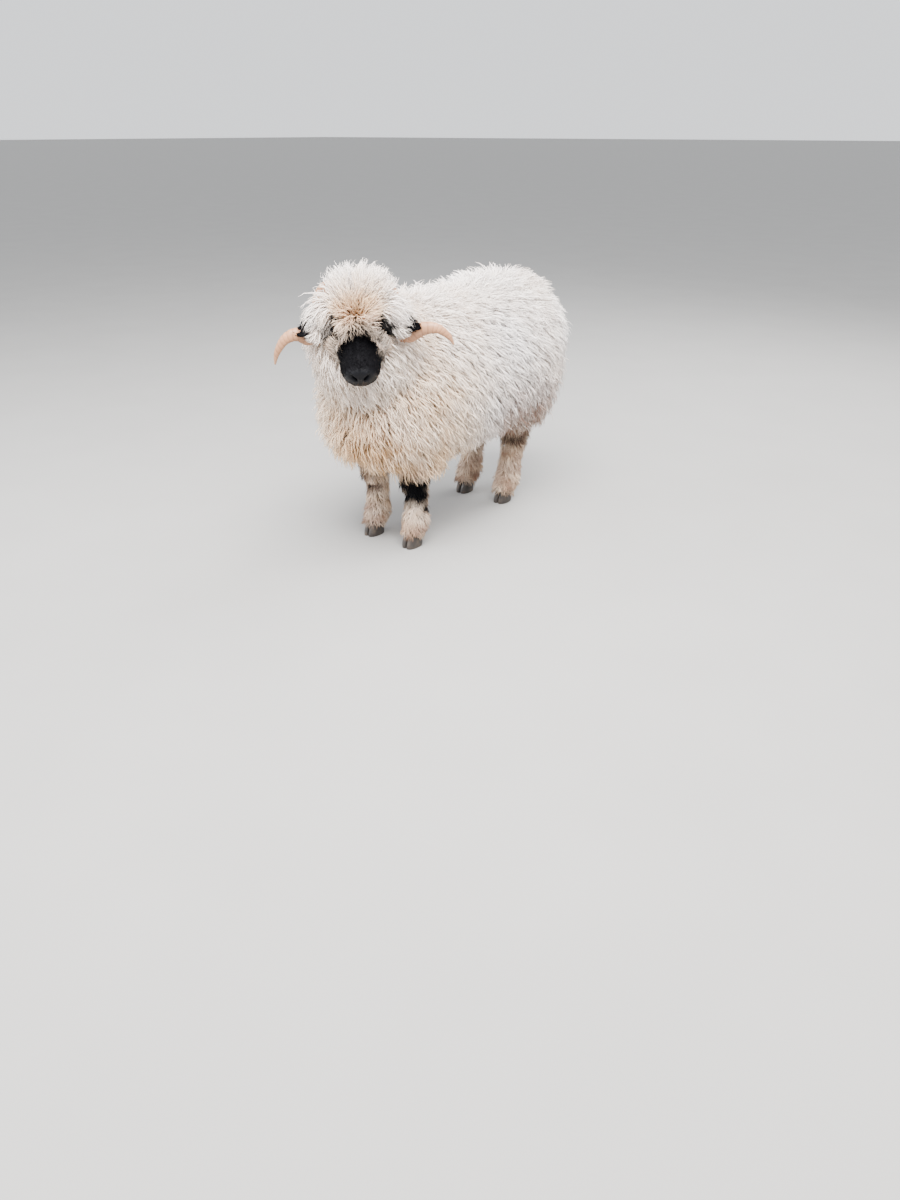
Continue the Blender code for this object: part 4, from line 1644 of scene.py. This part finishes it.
@dataclass(frozen=True)
class Eye:
    """One eyeball with its clear bulge in front.

    Attributes:
        side: The side that it is on.
        segments: Points round the ball.
        rims: Where the bulge starts, as the cosine from the way it looks.
        bulge: How far each step of the bulge stands out.
    """

    side: Side
    segments: int = 48
    rims: tuple[float, ...] = (0.80, 0.88, 0.95)
    bulge: float = 0.00028

    def build(self, head: Head) -> Object:
        """Models the eyeball and stores its own axes for the finish.

        Args:
            head: The head that it sits in.

        Returns:
            The eyeball.
        """
        middle, look = head.eye(self.side), head.look(self.side)
        bpy.ops.object.select_all(action="DESELECT")
        bpy.ops.mesh.primitive_uv_sphere_add(
            segments=self.segments,
            ring_count=self.segments // 2,
            radius=EWE.eye_radius,
            location=middle,
        )
        thing = bpy.context.object
        bpy.ops.object.mode_set(mode="EDIT")
        bpy.ops.mesh.select_mode(type="VERT")
        bpy.ops.mesh.select_all(action="DESELECT")
        for rim in self.rims:
            bpy.ops.object.mode_set(mode="OBJECT")
            for vert in thing.data.vertices:
                vert.select = vert.co.normalized().dot(Vector(look)) > rim
            bpy.ops.object.mode_set(mode="EDIT")
            bpy.ops.transform.translate(value=Vector(look) * self.bulge)
        bpy.ops.mesh.select_all(action="SELECT")
        bpy.ops.mesh.vertices_smooth(factor=0.5, repeat=1)
        bpy.ops.mesh.normals_make_consistent(inside=False)
        thing = place_in_mesh(f"eyeball_{self.side.word}")
        along = head.slit(self.side)
        spots = read_points(thing.data) - middle
        own = np.stack((spots @ along, spots @ np.cross(along, look), spots @ look), 1)
        grain = np.ones((len(own), 4))
        grain[:, :3] = own / EWE.eye_radius * 0.5 + 0.5
        write_colours(thing.data, "strand", grain)
        return thing


@dataclass(frozen=True)
class Claw:
    """One half of a cloven hoof.

    Attributes:
        end: Front or hind.
        side: The side that the foot is on.
        outer: Whether it is the outer claw of its foot.
        corners: Points in a ring.
        rings: Inward and rearward offset, height, half width and half depth of each ring.
        off: How far its middle is from the foot's, to the side.
        square: The power of its rounding.
        widest: Half its width and half its depth at its widest.
        toe: The distance in front of its middle at which toe_in is measured.
        toe_in: How far it is drawn to the cleft there.
        lines: Depth of the growth lines, as a share of its radius.
        pitch: How close the lines lie, in radians for each metre.
    """

    end: str
    side: Side
    outer: bool
    corners: int = 40
    rings: Rows = (
        (0.0000, -0.005, 0.0000, 0.0118, 0.0320),
        (0.0000, -0.005, 0.0012, 0.0126, 0.0328),
        (0.0000, -0.004, 0.0120, 0.0130, 0.0325),
        (0.0004, -0.003, 0.0210, 0.0127, 0.0308),
        (0.0008, -0.001, 0.0300, 0.0122, 0.0285),
        (0.0014, 0.002, EWE.hoof_top, 0.0112, 0.0250),
    )
    off: float = 0.0140
    square: float = 2.5
    widest: Pair = (0.013, 0.0325)
    toe: float = 0.034
    toe_in: float = 0.0045
    lines: float = 0.014
    pitch: float = 1500.0

    def build(self, shift: Array) -> Object:
        """Models the claw by extruding its sole upwards ring by ring.

        Args:
            shift: From the animal's own frame to the row frame.

        Returns:
            The claw.
        """
        foot = EWE.front_foot if self.end == "front" else EWE.hind_foot
        turn = self.side.value if self.outer else -self.side.value
        base = np.array((self.side.value * foot[0] + turn * self.off, foot[1], 0.0)) + shift
        spots = [base + (-turn * x, y, z) for x, y, z, _, _ in self.rings]
        sizes = [ring[3:] for ring in self.rings]
        bpy.ops.object.select_all(action="DESELECT")
        bpy.ops.mesh.primitive_circle_add(
            vertices=self.corners, radius=1.0, fill_type="NGON", location=spots[0]
        )
        bpy.ops.object.mode_set(mode="EDIT")
        bpy.ops.mesh.select_all(action="SELECT")
        bpy.ops.transform.resize(value=(*sizes[0], 1.0), center_override=spots[0])
        for here, there, size, new in zip(spots, spots[1:], sizes, sizes[1:]):
            bpy.ops.mesh.extrude_region_move(TRANSFORM_OT_translate={"value": there - here})
            ratio = (new[0] / size[0], new[1] / size[1], 1.0)
            bpy.ops.transform.resize(value=ratio, center_override=there)
        bpy.ops.mesh.select_all(action="SELECT")
        bpy.ops.mesh.normals_make_consistent(inside=False)
        place = "outer" if self.outer else "inner"
        thing = place_in_mesh(f"hoof_{self.end}_{self.side.word}_{place}")
        self.refine(thing, base, turn)
        return thing

    def refine(self, thing: Object, base: Array, turn: int) -> None:
        """Rounds the claw's rings squarely, draws its toe in and adds growth lines.

        Args:
            thing: The claw.
            base: The middle of its sole.
            turn: The sign of X away from the cleft.
        """
        smooth = thing.modifiers.new("fine_wall", "SUBSURF")
        smooth.subdivision_type = "SIMPLE"
        smooth.levels = smooth.render_levels = 2
        bpy.context.view_layer.objects.active = thing
        bpy.ops.object.modifier_apply(modifier=smooth.name)
        spots = read_points(thing.data)
        away = spots - base
        half, deep = self.widest
        angle = np.arctan2(away[:, 1] / deep, away[:, 0] / half)
        power = self.square
        fuller = (np.abs(np.cos(angle)) ** power + np.abs(np.sin(angle)) ** power) ** (-1 / power)
        z = spots[:, 2]
        line = self.lines * np.sin(z * self.pitch) * rise(0.003, 0.008, z)
        away[:, :2] *= column(fuller * (1 + line))
        reach = np.maximum(0, -away[:, 1] / self.toe)
        away[:, 0] -= turn * self.toe_in * reach**2
        write_points(thing.data, base + away)


class Graph:
    """A short way to write a node tree."""

    def __init__(self, tree: NodeTree) -> None:
        """Takes the tree to write."""
        self.tree = tree

    def add(self, kind: str, values: dict | None = None, **settings: object) -> Node:
        """Adds a node.

        Args:
            kind: The node's type.
            values: Its inputs: plain values, or sockets that are linked in.
            settings: Its own settings.

        Returns:
            The node.
        """
        node = self.tree.nodes.new(kind)
        for name, value in settings.items():
            setattr(node, name, value)
        self.feed(node, values or {})
        return node

    def feed(self, node: Node, values: dict) -> None:
        """Sets a node's inputs, or links other sockets to them.

        Args:
            node: The node.
            values: Its inputs: plain values, or sockets that are linked in.
        """
        for key, value in values.items():
            if isinstance(value, NodeSocket):
                self.tree.links.new(value, node.inputs[key])
            else:
                node.inputs[key].default_value = value

    def group(self, tree: NodeTree, values: dict) -> NodeSocket:
        """What a node group puts out."""
        return self.add("ShaderNodeGroup", values, node_tree=tree).outputs[0]

    def mix(self, share: object, one: object, two: object, blend: str = "MIX") -> NodeSocket:
        """Mixes two colours."""
        values = {0: share, 6: one, 7: two}
        return self.add("ShaderNodeMix", values, data_type="RGBA", blend_type=blend).outputs[2]

    def math(self, operation: str, *values: object) -> NodeSocket:
        """Calculates with numbers."""
        return self.add("ShaderNodeMath", dict(enumerate(values)), operation=operation).outputs[0]

    def spread(
        self, value: object, low: float, high: float, to_low: float, to_high: float
    ) -> NodeSocket:
        """Moves a range of numbers to another, without leaving it."""
        values = {0: value, 1: low, 2: high, 3: to_low, 4: to_high}
        return self.add("ShaderNodeMapRange", values, clamp=True).outputs[0]

    def grey(self, value: object) -> NodeSocket:
        """A grey of that brightness."""
        return self.add("ShaderNodeCombineColor", {0: value, 1: value, 2: value}).outputs[0]

    def place(self) -> NodeSocket:
        """The place on the object."""
        return self.add("ShaderNodeTexCoord").outputs["Object"]

    def noise(self, size: float, detail: float) -> NodeSocket:
        """A noise on the object's own place."""
        values = {"Vector": self.place(), "Scale": size, "Detail": detail}
        return self.add("ShaderNodeTexNoise", values).outputs[0]

    def stored(self, name: str) -> tuple[NodeSocket, ...]:
        """The colour and the fourth number of an attribute, and its first three apart."""
        read = self.add("ShaderNodeAttribute", attribute_name=name).outputs
        apart = self.add("ShaderNodeSeparateColor", {0: read["Color"]}).outputs
        return read["Color"], read["Alpha"], *apart

    def bump(self, strength: float, deep: float, height: object) -> NodeSocket:
        """A bumped normal."""
        values = {"Strength": strength, "Distance": deep, "Height": height}
        return self.add("ShaderNodeBump", values).outputs[0]


def new_material(name: str) -> tuple[Material, Graph, Node]:
    """Starts a material.

    Args:
        name: Its name.

    Returns:
        The material, its graph and its Principled shader.
    """
    made = bpy.data.materials.new(name)
    made.use_nodes = True
    return made, Graph(made.node_tree), made.node_tree.nodes["Principled BSDF"]


@dataclass(frozen=True)
class CoatColour:
    """The node group that turns the masks into the coat's colour, for skin and locks alike, with
    painted shade that darkens each lock towards its root.

    Attributes:
        white: Colour of clean wool.
        cream: Colour of wool that is yellow with grease.
        gold: Colour of the golden stains.
        mud: Colour of the muddy tips.
        black: Colour of the black wool and hair.
        patches: Size of the noise that makes the cream uneven, as a texture scale.
    """

    white: Colour = (0.96, 0.925, 0.915, 1)
    cream: Colour = (0.90, 0.67, 0.45, 1)
    gold: Colour = (0.52, 0.28, 0.095, 1)
    mud: Colour = (0.30, 0.160, 0.108, 1)
    black: Colour = (0.0018, 0.0017, 0.0026, 1)
    patches: float = 14.0

    def group(self) -> NodeTree:
        """Builds the group.

        Returns:
            The node group, with the masks as its inputs.
        """
        tree = bpy.data.node_groups.new("CoatColour", "ShaderNodeTree")
        tree.interface.new_socket("Mark", in_out="INPUT", socket_type="NodeSocketColor")
        for name in ("Gold", "Tip", "Seed"):
            tree.interface.new_socket(name, in_out="INPUT", socket_type="NodeSocketFloat")
        tree.interface.new_socket("Color", in_out="OUTPUT", socket_type="NodeSocketColor")
        graph = Graph(tree)
        given = graph.add("NodeGroupInput").outputs
        black, cream, mud = graph.add("ShaderNodeSeparateColor", {0: given["Mark"]}).outputs
        patches = graph.spread(graph.noise(self.patches, 3.0), 0.3, 0.7, 0.75, 1.25)
        colour = graph.mix(graph.math("MULTIPLY", cream, patches), self.white, self.cream)
        colour = graph.mix(given["Gold"], colour, self.gold)
        # Painted shade: each lock is darkened towards its root, to 0.93 at the root, as if shade fell
        # deep in the fleece.
        root = graph.grey(graph.spread(given["Tip"], 0.0, 0.5, 0.93, 1.0))
        colour = graph.mix(1.0, colour, root, "MULTIPLY")
        tips = graph.spread(given["Tip"], 0.1, 0.9, 0.65, 1.15)
        colour = graph.mix(graph.math("MULTIPLY", mud, tips), colour, self.mud)
        colour = graph.mix(black, colour, self.black)
        shade = graph.grey(graph.spread(given["Seed"], 0.0, 1.0, 0.90, 1.06))
        graph.add("NodeGroupOutput", {"Color": graph.mix(1.0, colour, shade, "MULTIPLY")})
        return tree


@dataclass(frozen=True)
class FuzzRelief:
    """The node group of fine fibre relief on wool, hair and hide.

    Attributes:
        detail: How finely the noise is broken up.
    """

    detail: float = 4.0

    def group(self) -> NodeTree:
        """Builds the group.

        Returns:
            The node group, which puts out a height.
        """
        tree = bpy.data.node_groups.new("FuzzRelief", "ShaderNodeTree")
        tree.interface.new_socket("Scale", in_out="INPUT", socket_type="NodeSocketFloat")
        tree.interface.new_socket("Height", in_out="OUTPUT", socket_type="NodeSocketFloat")
        graph = Graph(tree)
        given = graph.add("NodeGroupInput").outputs["Scale"]
        values = {"Vector": graph.place(), "Scale": given, "Detail": self.detail}
        fine = graph.add("ShaderNodeTexNoise", values).outputs[0]
        graph.add("NodeGroupOutput", {"Height": fine})
        return tree


@dataclass(frozen=True)
class WoolFinish:
    """Locks of wool and hair.

    Attributes:
        roughness: Roughness of white wool and of black hair.
        specular: Strength of the gloss.
        fibres: Size of the fibres, as a texture scale.
        relief: Strength and depth of the fibres.
    """

    roughness: Pair = (0.95, 0.62)
    specular: float = 0.07
    fibres: float = 650.0
    relief: Pair = (0.7, 0.0022)

    def material(self, colour: NodeTree, fuzz: NodeTree) -> Material:
        """Builds the material.

        Args:
            colour: The coat's colour group.
            fuzz: The fibre relief group.

        Returns:
            The material.
        """
        made, graph, shader = new_material("fleece_wool")
        mark, gold, black, _, _ = graph.stored("mark")
        _, _, tip, seed, _ = graph.stored("strand")
        coat = graph.group(colour, {"Mark": mark, "Gold": gold, "Tip": tip, "Seed": seed})
        height = graph.group(fuzz, {"Scale": self.fibres})
        values = {
            "Base Color": coat,
            "Roughness": graph.spread(black, 0.3, 1.0, *self.roughness),
            "Normal": graph.bump(*self.relief, height),
            "Specular IOR Level": self.specular,
        }
        graph.feed(shader, values)
        return made


@dataclass(frozen=True)
class HideFinish:
    """The skin under the coat, with its short nap, the bare leather of the nose and a little painted
    shade.

    Attributes:
        roughness: Roughness of white skin and of black nap.
        nose_roughness: Roughness of the bare nose.
        nose_colour: Colour of the bare nose.
        nose_film: Strength and roughness of the moist film on the bare nose.
        specular: Strength of the gloss.
        nap: Size of the nap's hairs, as a texture scale.
        relief: Strength and depth of the nap.
        pebbles: Size of the nose's pebbles, as a texture scale.
    """

    roughness: Pair = (0.92, 0.70)
    nose_roughness: float = 0.50
    nose_colour: Colour = (0.0025, 0.0027, 0.0040, 1)
    nose_film: Pair = (0.16, 0.34)
    specular: float = 0.07
    nap: float = 900.0
    relief: Pair = (0.6, 0.0016)
    pebbles: float = 520.0

    def material(self, colour: NodeTree, fuzz: NodeTree) -> Material:
        """Builds the material.

        Args:
            colour: The coat's colour group.
            fuzz: The fibre relief group.

        Returns:
            The material.
        """
        made, graph, shader = new_material("skin_hide")
        mark, gold, black, _, _ = graph.stored("mark")
        _, _, bare, _, _ = graph.stored("bare")
        # Painted shade: the skin takes the coat's colour as if a quarter of the way up a lock,
        # darkened to about 0.965 like the shade deep in the fleece.
        coat = graph.group(colour, {"Mark": mark, "Gold": gold, "Tip": 0.25, "Seed": 0.5})
        nap = graph.group(fuzz, {"Scale": self.nap})
        cells = {"Vector": graph.place(), "Scale": self.pebbles}
        pebbles = graph.add("ShaderNodeTexVoronoi", cells, feature="SMOOTH_F1").outputs[0]
        height = graph.mix(bare, graph.grey(nap), graph.grey(pebbles))
        rough = graph.spread(black, 0.3, 1.0, *self.roughness)
        wet, film_roughness = self.nose_film
        values = {
            "Base Color": graph.mix(bare, coat, self.nose_colour),
            "Roughness": graph.mix(bare, graph.grey(rough), graph.grey(self.nose_roughness)),
            "Normal": graph.bump(*self.relief, height),
            "Coat Weight": graph.math("MULTIPLY", bare, wet),
            "Coat Roughness": film_roughness,
            "Specular IOR Level": self.specular,
        }
        graph.feed(shader, values)
        return made


@dataclass(frozen=True)
class HornFinish:
    """Pale ringed horn, deeper between the rings and paler at its tip.

    Attributes:
        pale: Colour of the ridges.
        deep: Colour of the grooves and streaks.
        tip: Colour of the tip.
        roughness: Roughness from polished to dull.
        streaks: Size of the streaks, as a texture scale.
        grain: Size of the fine grain, as a texture scale.
        relief: Strength and depth of the grain.
    """

    pale: Colour = (0.42, 0.212, 0.112, 1)
    deep: Colour = (0.19, 0.080, 0.036, 1)
    tip: Colour = (0.44, 0.270, 0.175, 1)
    roughness: Pair = (0.38, 0.58)
    streaks: float = 60.0
    grain: float = 420.0
    relief: Pair = (0.3, 0.0006)

    def material(self) -> Material:
        """Builds the material.

        Returns:
            The material.
        """
        made, graph, shader = new_material("horn_shaft")
        _, _, along, ring, _ = graph.stored("strand")
        streak = graph.noise(self.streaks, 5.0)
        colour = graph.mix(graph.spread(ring, 0.15, 0.75, 0.75, 0.0), self.pale, self.deep)
        colour = graph.mix(graph.spread(streak, 0.35, 0.75, 0.0, 0.35), colour, self.deep)
        colour = graph.mix(graph.spread(along, 0.80, 1.0, 0.0, 0.75), colour, self.tip)
        values = {
            "Base Color": colour,
            "Roughness": graph.spread(streak, 0.3, 0.7, *self.roughness),
            "Normal": graph.bump(*self.relief, graph.noise(self.grain, 3.0)),
        }
        graph.feed(shader, values)
        return made


@dataclass(frozen=True)
class HoofFinish:
    """Dark hoof wall with paler growth lines and dust.

    Attributes:
        wall: Colour of the wall.
        line: Colour of the growth lines.
        dust: Colour of the dust.
        roughness: Roughness of clean and of dusty wall.
        bands: Size of the growth lines, as a texture scale.
        dirt: Size of the dusty patches, as a texture scale.
        relief: Strength and depth of the dust.
    """

    wall: Colour = (0.020, 0.017, 0.015, 1)
    line: Colour = (0.060, 0.045, 0.036, 1)
    dust: Colour = (0.125, 0.092, 0.068, 1)
    roughness: Pair = (0.42, 0.70)
    bands: float = 90.0
    dirt: float = 45.0
    relief: Pair = (0.4, 0.0006)

    def material(self) -> Material:
        """Builds the material.

        Returns:
            The material.
        """
        made, graph, shader = new_material("hoof_wall")
        waves = {"Vector": graph.place(), "Scale": self.bands, "Distortion": 2.0}
        bands = graph.add("ShaderNodeTexWave", waves, bands_direction="Z").outputs[1]
        dusty = graph.noise(self.dirt, 6.0)
        colour = graph.mix(graph.spread(bands, 0.2, 0.9, 0.0, 0.5), self.wall, self.line)
        colour = graph.mix(graph.spread(dusty, 0.45, 0.75, 0.0, 0.6), colour, self.dust)
        values = {
            "Base Color": colour,
            "Roughness": graph.spread(dusty, 0.3, 0.7, *self.roughness),
            "Normal": graph.bump(*self.relief, dusty),
        }
        graph.feed(shader, values)
        return made


@dataclass(frozen=True)
class EyeFinish:
    """Amber iris with the level slot of a sheep's pupil, under a wet surface.

    Attributes:
        rim: Colour outside the iris.
        light: Lighter colour of the iris.
        dark: Darker colour of the iris.
        pupil: Colour of the pupil.
        slot: Half length and half height of the pupil, as a share of the ball's width.
        iris: How far from its middle the iris begins to fade, and ends, in the same way.
        fibres: Size of the iris's fibres, as a texture scale.
        roughness: Roughness of the ball.
        film: Roughness of the wet film on it.
    """

    rim: Colour = (0.05, 0.035, 0.03, 1)
    light: Colour = (0.30, 0.17, 0.05, 1)
    dark: Colour = (0.10, 0.05, 0.02, 1)
    pupil: Colour = (0.002, 0.002, 0.003, 1)
    slot: Pair = (0.175, 0.060)
    iris: Pair = (0.30, 0.34)
    fibres: float = 700.0
    roughness: float = 0.08
    film: float = 0.03

    def material(self) -> Material:
        """Builds the material.

        Returns:
            The material.
        """
        made, graph, shader = new_material("eye_wet")
        _, _, x, y, _ = graph.stored("strand")
        across = graph.math("ABSOLUTE", graph.math("SUBTRACT", x, 0.5))
        above = graph.math("ABSOLUTE", graph.math("SUBTRACT", y, 0.5))
        squares = [graph.math("MULTIPLY", value, value) for value in (across, above)]
        radius = graph.math("SQRT", graph.math("ADD", *squares))
        disc = graph.spread(radius, *self.iris, 1.0, 0.0)
        long, high = self.slot
        slot = graph.math(
            "MULTIPLY",
            graph.spread(across, long - 0.015, long + 0.015, 1.0, 0.0),
            graph.spread(above, high - 0.01, high + 0.01, 1.0, 0.0),
        )
        fibres = graph.spread(graph.noise(self.fibres, 4.0), 0.3, 0.7, 0.0, 1.0)
        colour = graph.mix(disc, self.rim, graph.mix(fibres, self.light, self.dark))
        values = {
            "Base Color": graph.mix(slot, colour, self.pupil),
            "Roughness": self.roughness,
            "Coat Weight": 1.0,
            "Coat Roughness": self.film,
        }
        graph.feed(shader, values)
        return made


@dataclass(frozen=True)
class FloorFinish:
    """A plain pale floor.

    Attributes:
        shades: Its darkest and its lightest colour.
        clouds: Size of the change between them, as a texture scale.
        roughness: Its roughness.
    """

    shades: tuple[Colour, Colour] = ((0.30, 0.296, 0.29, 1), (0.33, 0.326, 0.32, 1))
    clouds: float = 3.0
    roughness: float = 0.9

    def material(self) -> Material:
        """Builds the material.

        Returns:
            The material.
        """
        made, graph, shader = new_material("floor_plain")
        colour = graph.mix(graph.noise(self.clouds, 2.0), *self.shades)
        graph.feed(shader, {"Base Color": colour, "Roughness": self.roughness})
        return made


@dataclass(frozen=True)
class Lamp:
    """A large soft light that points at the animal.

    Attributes:
        name: Its name.
        place: Where it hangs.
        size: The side of its square.
        power: Its power in watts.
        colour: Its colour.
        target: The point that it lights.
    """

    name: str
    place: Point
    size: float
    power: float
    colour: Point
    target: Point = (0.0, 0.0, 0.5)

    def hang(self) -> None:
        """Adds the lamp to the scene."""
        data = bpy.data.lights.new(self.name, "AREA")
        data.size = self.size
        data.energy = self.power
        data.color = self.colour
        lamp = bpy.data.objects.new(self.name, data)
        lamp.location = self.place
        aim = Vector(self.target) - Vector(self.place)
        lamp.rotation_euler = aim.to_track_quat("-Z", "Y").to_euler()
        bpy.context.scene.collection.objects.link(lamp)


@dataclass(frozen=True)
class Studio:
    """Floor, lights and the photo's own point of view.

    Attributes:
        eye: The camera's place in the animal's own frame.
        look: The way that it looks.
        lens: Its focal length in millimetres.
        sensor: The longer side of its sensor in millimetres.
        floor: The side of the floor.
        sky: Brightness of the even light from all round.
        sky_colour: Colour of that light.
        lamps: The lights.
    """

    eye: Point = (1.876, -2.357, 1.234)
    look: Point = (-0.5447, 0.6989, -0.4635)
    lens: float = 27.03
    sensor: float = 36.0
    floor: float = 240.0
    sky: float = 1.40
    sky_colour: Colour = (0.95, 0.97, 1.0, 1)
    lamps: tuple[Lamp, ...] = (
        Lamp("key", (1.2, -1.4, 3.6), 2.8, 760.0, (1.0, 0.97, 0.94)),
        Lamp("fill", (-2.4, -2.8, 2.0), 3.2, 200.0, (0.96, 0.97, 1.0)),
        Lamp("rim", (0.6, 2.8, 3.2), 2.6, 240.0, (1.0, 0.99, 0.98)),
    )

    def build(self, shift: Array, finish: FloorFinish) -> None:
        """Adds floor, lights and camera.

        Args:
            shift: From the animal's own frame to the row frame.
            finish: The floor's finish.
        """
        bpy.ops.object.select_all(action="DESELECT")
        bpy.ops.mesh.primitive_plane_add(size=self.floor)
        bpy.ops.object.mode_set(mode="EDIT")
        bpy.ops.mesh.subdivide(number_cuts=8)
        floor = place_in_mesh("studio_floor")
        floor.data.materials.append(finish.material())
        world = bpy.context.scene.world or bpy.data.worlds.new("world")
        bpy.context.scene.world = world
        world.use_nodes = True
        sky = world.node_tree.nodes["Background"]
        sky.inputs["Color"].default_value = self.sky_colour
        sky.inputs["Strength"].default_value = self.sky
        for lamp in self.lamps:
            lamp.hang()
        data = bpy.data.cameras.new("camera")
        data.lens = self.lens
        data.sensor_width = self.sensor
        camera = bpy.data.objects.new("camera", data)
        camera.location = Vector(np.array(self.eye) + shift)
        camera.rotation_euler = Vector(self.look).to_track_quat("-Z", "Y").to_euler()
        bpy.context.scene.collection.objects.link(camera)
        bpy.context.scene.camera = camera


def settle(piece: Object, finish: Material, slot: str, *nodes: str) -> None:
    """Finishes a piece and tells the frame about it.

    Args:
        piece: The piece.
        finish: Its material.
        slot: The name of a material slot. It is not used.
        nodes: The CAD nodes that it stands for.
    """
    piece.data.materials.append(finish)
    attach(piece, "root")
    if nodes:
        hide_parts(*nodes)
    log.info("%s: %d faces", piece.name, len(piece.data.polygons))


def main() -> None:
    """Builds every piece in order, then floor, lights and camera."""
    logging.basicConfig(level=logging.INFO, format="%(name)s: %(message)s")
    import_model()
    bpy.ops.object.select_all(action="DESELECT")
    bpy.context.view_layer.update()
    body = Body()
    markings = Markings(body)
    colour, fuzz = CoatColour().group(), FuzzRelief().group()

    flesh = ["torso", "neck", "head", "tail"]
    for side in Side:
        flesh += [f"leg_front_{side.word}", f"leg_hind_{side.word}", f"ear_{side.word}"]
    skin = Skin(body, markings).build()
    settle(skin, HideFinish().material(colour, fuzz), "wool", *flesh)

    wool = WoolFinish().material(colour, fuzz)
    for piece in Fleece(body, markings, skin).pieces():
        settle(piece, wool, "wool")

    horn, eye, hoof = HornFinish().material(), EyeFinish().material(), HoofFinish().material()
    for shaft in HORNS:
        settle(shaft.build(body.head), horn, "horn", f"horn_{shaft.side.word}")
    for side in Side:
        settle(Eye(side).build(body.head), eye, "eye", f"eye_{side.word}")
        for end in ("front", "hind"):
            for outer, place in ((True, "outer"), (False, "inner")):
                claw = Claw(end, side, outer).build(body.shift)
                settle(claw, hoof, "hoof", f"claw_{end}_{side.word}_{place}")

    Studio().build(body.shift, FloorFinish())
    log.info("all pieces are in place")


if __name__ == "__main__":
    main()
